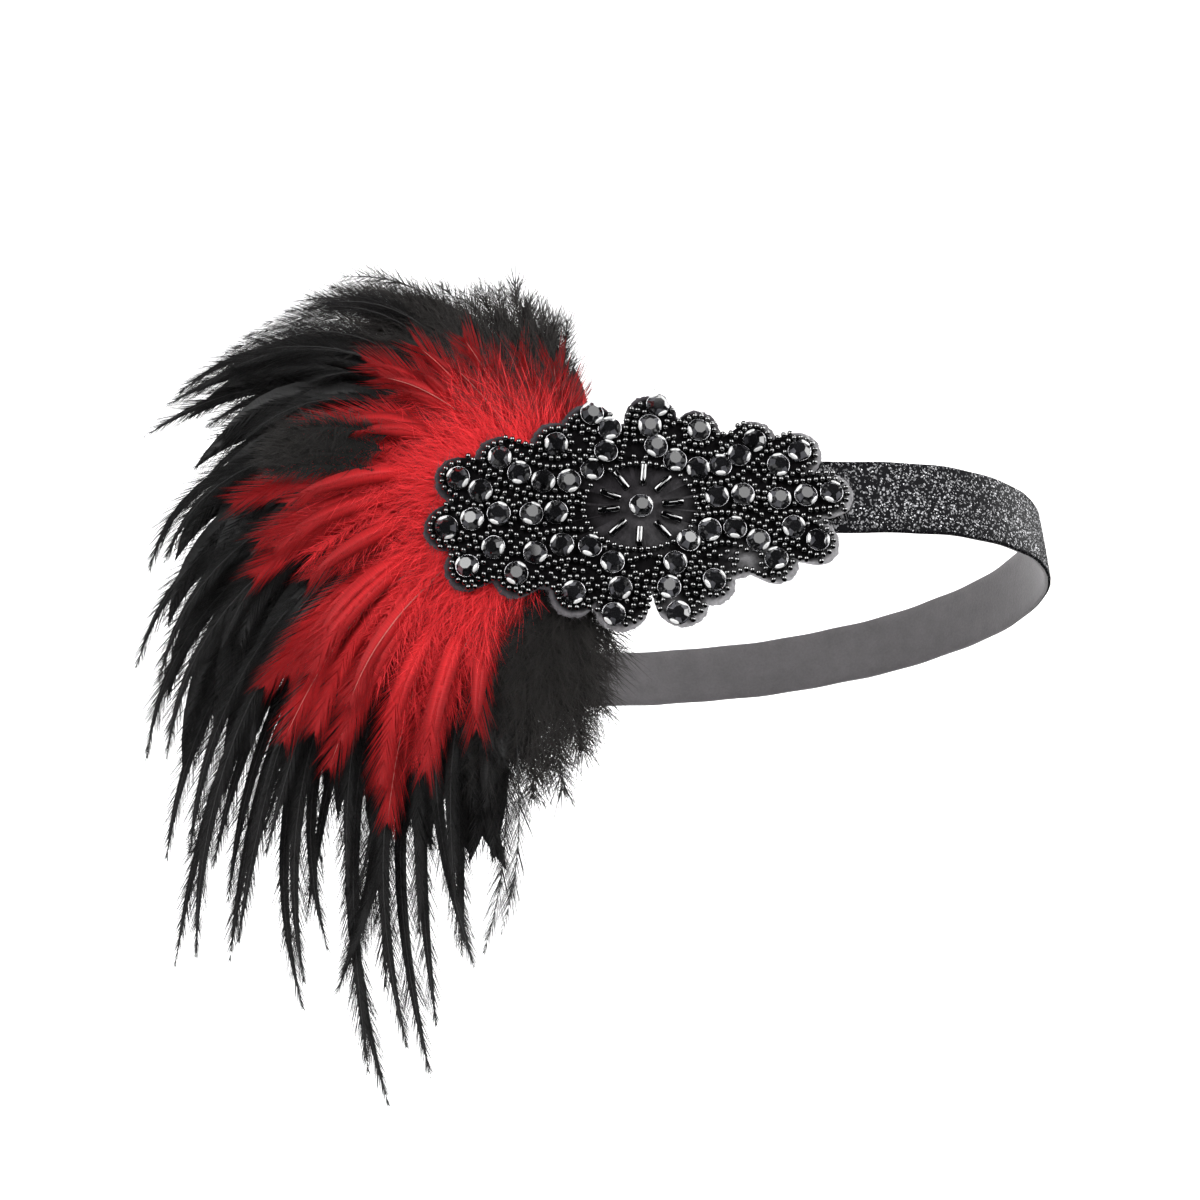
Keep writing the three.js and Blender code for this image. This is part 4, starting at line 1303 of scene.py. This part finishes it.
class HEADBAND_OT_stage(bpy.types.Operator):
    """Make the floor, the lights and the camera"""

    bl_idname = "headband.stage"
    bl_label = "Stage"

    def execute(self, context):
        sizes = context.scene.headband.stage
        scene = context.scene
        self.sweep(sizes)
        self.lights()
        camera = bpy.data.objects.new("camera", bpy.data.cameras.new("camera"))
        camera.data.lens = sizes.lens
        camera.data.sensor_width = 36.0
        camera.data.clip_start = 0.01
        camera.location = (sizes.offset, -sizes.distance, 0.0)
        camera.rotation_euler = (math.pi / 2, 0.0, 0.0)
        scene.collection.objects.link(camera)
        scene.camera = camera
        scene.view_settings.view_transform = "Standard"
        return {"FINISHED"}

    def sweep(self, sizes):
        """A pale floor that curves up into a back wall."""
        bm = bmesh.new()
        profile = [(-0.3, 0.0), (0.9, 0.0)]
        turn = [math.pi / 2 * i / 16 for i in range(1, 17)]
        profile += [(0.9 + 0.5 * math.sin(a), 0.5 - 0.5 * math.cos(a)) for a in turn]
        profile += [(1.4, 2.6)]
        line = [bm.verts.new((-3.0, y, z + sizes.floor)) for y, z in profile]
        edges = [bm.edges.new(pair) for pair in zip(line, line[1:])]
        wide = bmesh.ops.extrude_edge_only(bm, edges=edges)["geom"]
        far = [v for v in wide if isinstance(v, bmesh.types.BMVert)]
        bmesh.ops.translate(bm, verts=far, vec=(6.0, 0, 0))
        bmesh.ops.recalc_face_normals(bm, faces=bm.faces[:])
        smooth_all(bm)
        mesh = bpy.data.meshes.new("floor")
        bm.to_mesh(mesh)
        bm.free()
        pale = sizes.floor_colour
        matt = cloth_material("pale_floor", shade_of(pale, 0.955), pale, 6.0, 0.0, Roughness=0.9)
        mesh.materials.append(matt)
        floor = bpy.data.objects.new("floor", mesh)
        bpy.context.scene.collection.objects.link(floor)
        floor.visible_glossy = False

    def lights(self):
        """Soft boxes above and to both sides, and a pale surround."""
        lamps = [
            ("box_left", (-0.90, -0.80, 0.84), 1.1, 25.0, "mirrored"),
            ("box_right", (1.02, -0.66, 0.74), 1.1, 24.0, "mirrored"),
            ("panel", (0.28, -1.16, 0.62), 0.46, 2.2, "mirrored"),
            ("rim_right", (1.15, 0.5, 0.3), 0.9, 14.0, "mirrored"),
            ("wash_left", (-0.8, -0.9, 0.6), 0.9, 20.0, "soft"),
            ("wash_right", (0.8, -0.95, 0.5), 0.9, 15.0, "soft"),
            ("wash_back", (0.3, 1.0, 0.9), 0.8, 8.0, "both"),
            ("top", (0.0, 0.2, 1.1), 0.8, 7.0, "soft"),
            ("wall_left", (-1.3, 0.6, 0.9), 0.8, 24.0, "soft"),
            ("wall_right", (1.3, 0.6, 0.9), 0.8, 24.0, "soft"),
        ]
        for name, place, size, power, use in lamps:
            lamp = bpy.data.lights.new(name, "AREA")
            lamp.size = size
            lamp.energy = power
            made = bpy.data.objects.new(name, lamp)
            made.location = place
            made.visible_glossy = use != "soft"
            made.visible_diffuse = use != "mirrored"
            aim = Vector((0, 1.2, 0.3)) if name.startswith("wall") else Vector((-0.03, -0.05, 0.0))
            made.rotation_euler = (aim - Vector(place)).to_track_quat("-Z", "Y").to_euler()
            bpy.context.scene.collection.objects.link(made)
        world = bpy.data.worlds.new("surround")
        world.use_nodes = True
        tree = world.node_tree
        background = tree.nodes["Background"]
        background.inputs["Color"].default_value = (1.0, 1.0, 1.0, 1)
        path = tree.nodes.new("ShaderNodeLightPath")
        level = add_node(tree, "ShaderNodeMapRange", To_Min=0.07, To_Max=1.0)
        soft = add_node(tree, "ShaderNodeMath", operation="SUBTRACT")
        soft.inputs[0].default_value = 1.0
        strength = add_node(tree, "ShaderNodeMath", operation="MULTIPLY")
        wire(path, "Is Camera Ray", level, "Value")
        wire(path, "Is Glossy Ray", soft, 1)
        wire(level, "Result", strength, 0)
        wire(soft, 0, strength, 1)
        wire(strength, 0, background, "Strength")
        bpy.context.scene.world = world


class HEADBAND_PT_panel(bpy.types.Panel):
    """Settings and buttons of the headband"""

    bl_label = "Flapper headband"
    bl_idname = "HEADBAND_PT_panel"
    bl_space_type = "VIEW_3D"
    bl_region_type = "UI"
    bl_category = "Headband"

    def draw(self, context):
        settings = context.scene.headband
        for group in (settings.band, settings.motif, settings.plumes, settings.stage):
            box = self.layout.box()
            for key in group.__annotations__:
                box.prop(group, key)
        for operator in OPERATORS:
            self.layout.operator(operator.bl_idname)


OPERATORS = (
    HEADBAND_OT_stage,
    HEADBAND_OT_band,
    HEADBAND_OT_felt,
    HEADBAND_OT_stones,
    HEADBAND_OT_beads,
    HEADBAND_OT_black_plume,
    HEADBAND_OT_red_plume,
)
SETTINGS = (BandSettings, MotifSettings, PlumeSettings, StageSettings, HeadbandSettings)
CLASSES = (*SETTINGS, *OPERATORS, HEADBAND_PT_panel)


def register():
    for cls in CLASSES:
        bpy.utils.register_class(cls)
    bpy.types.Scene.headband = PointerProperty(type=HeadbandSettings)


def unregister():
    del bpy.types.Scene.headband
    for cls in reversed(CLASSES):
        bpy.utils.unregister_class(cls)


def main():
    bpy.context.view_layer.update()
    register()
    bpy.ops.headband.stage()
    bpy.ops.headband.band()
    bpy.ops.headband.felt()
    bpy.ops.headband.stones()
    bpy.ops.headband.beads()
    bpy.ops.headband.black_plume()
    bpy.ops.headband.red_plume()
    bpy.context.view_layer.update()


if __name__ == "__main__":
    main()
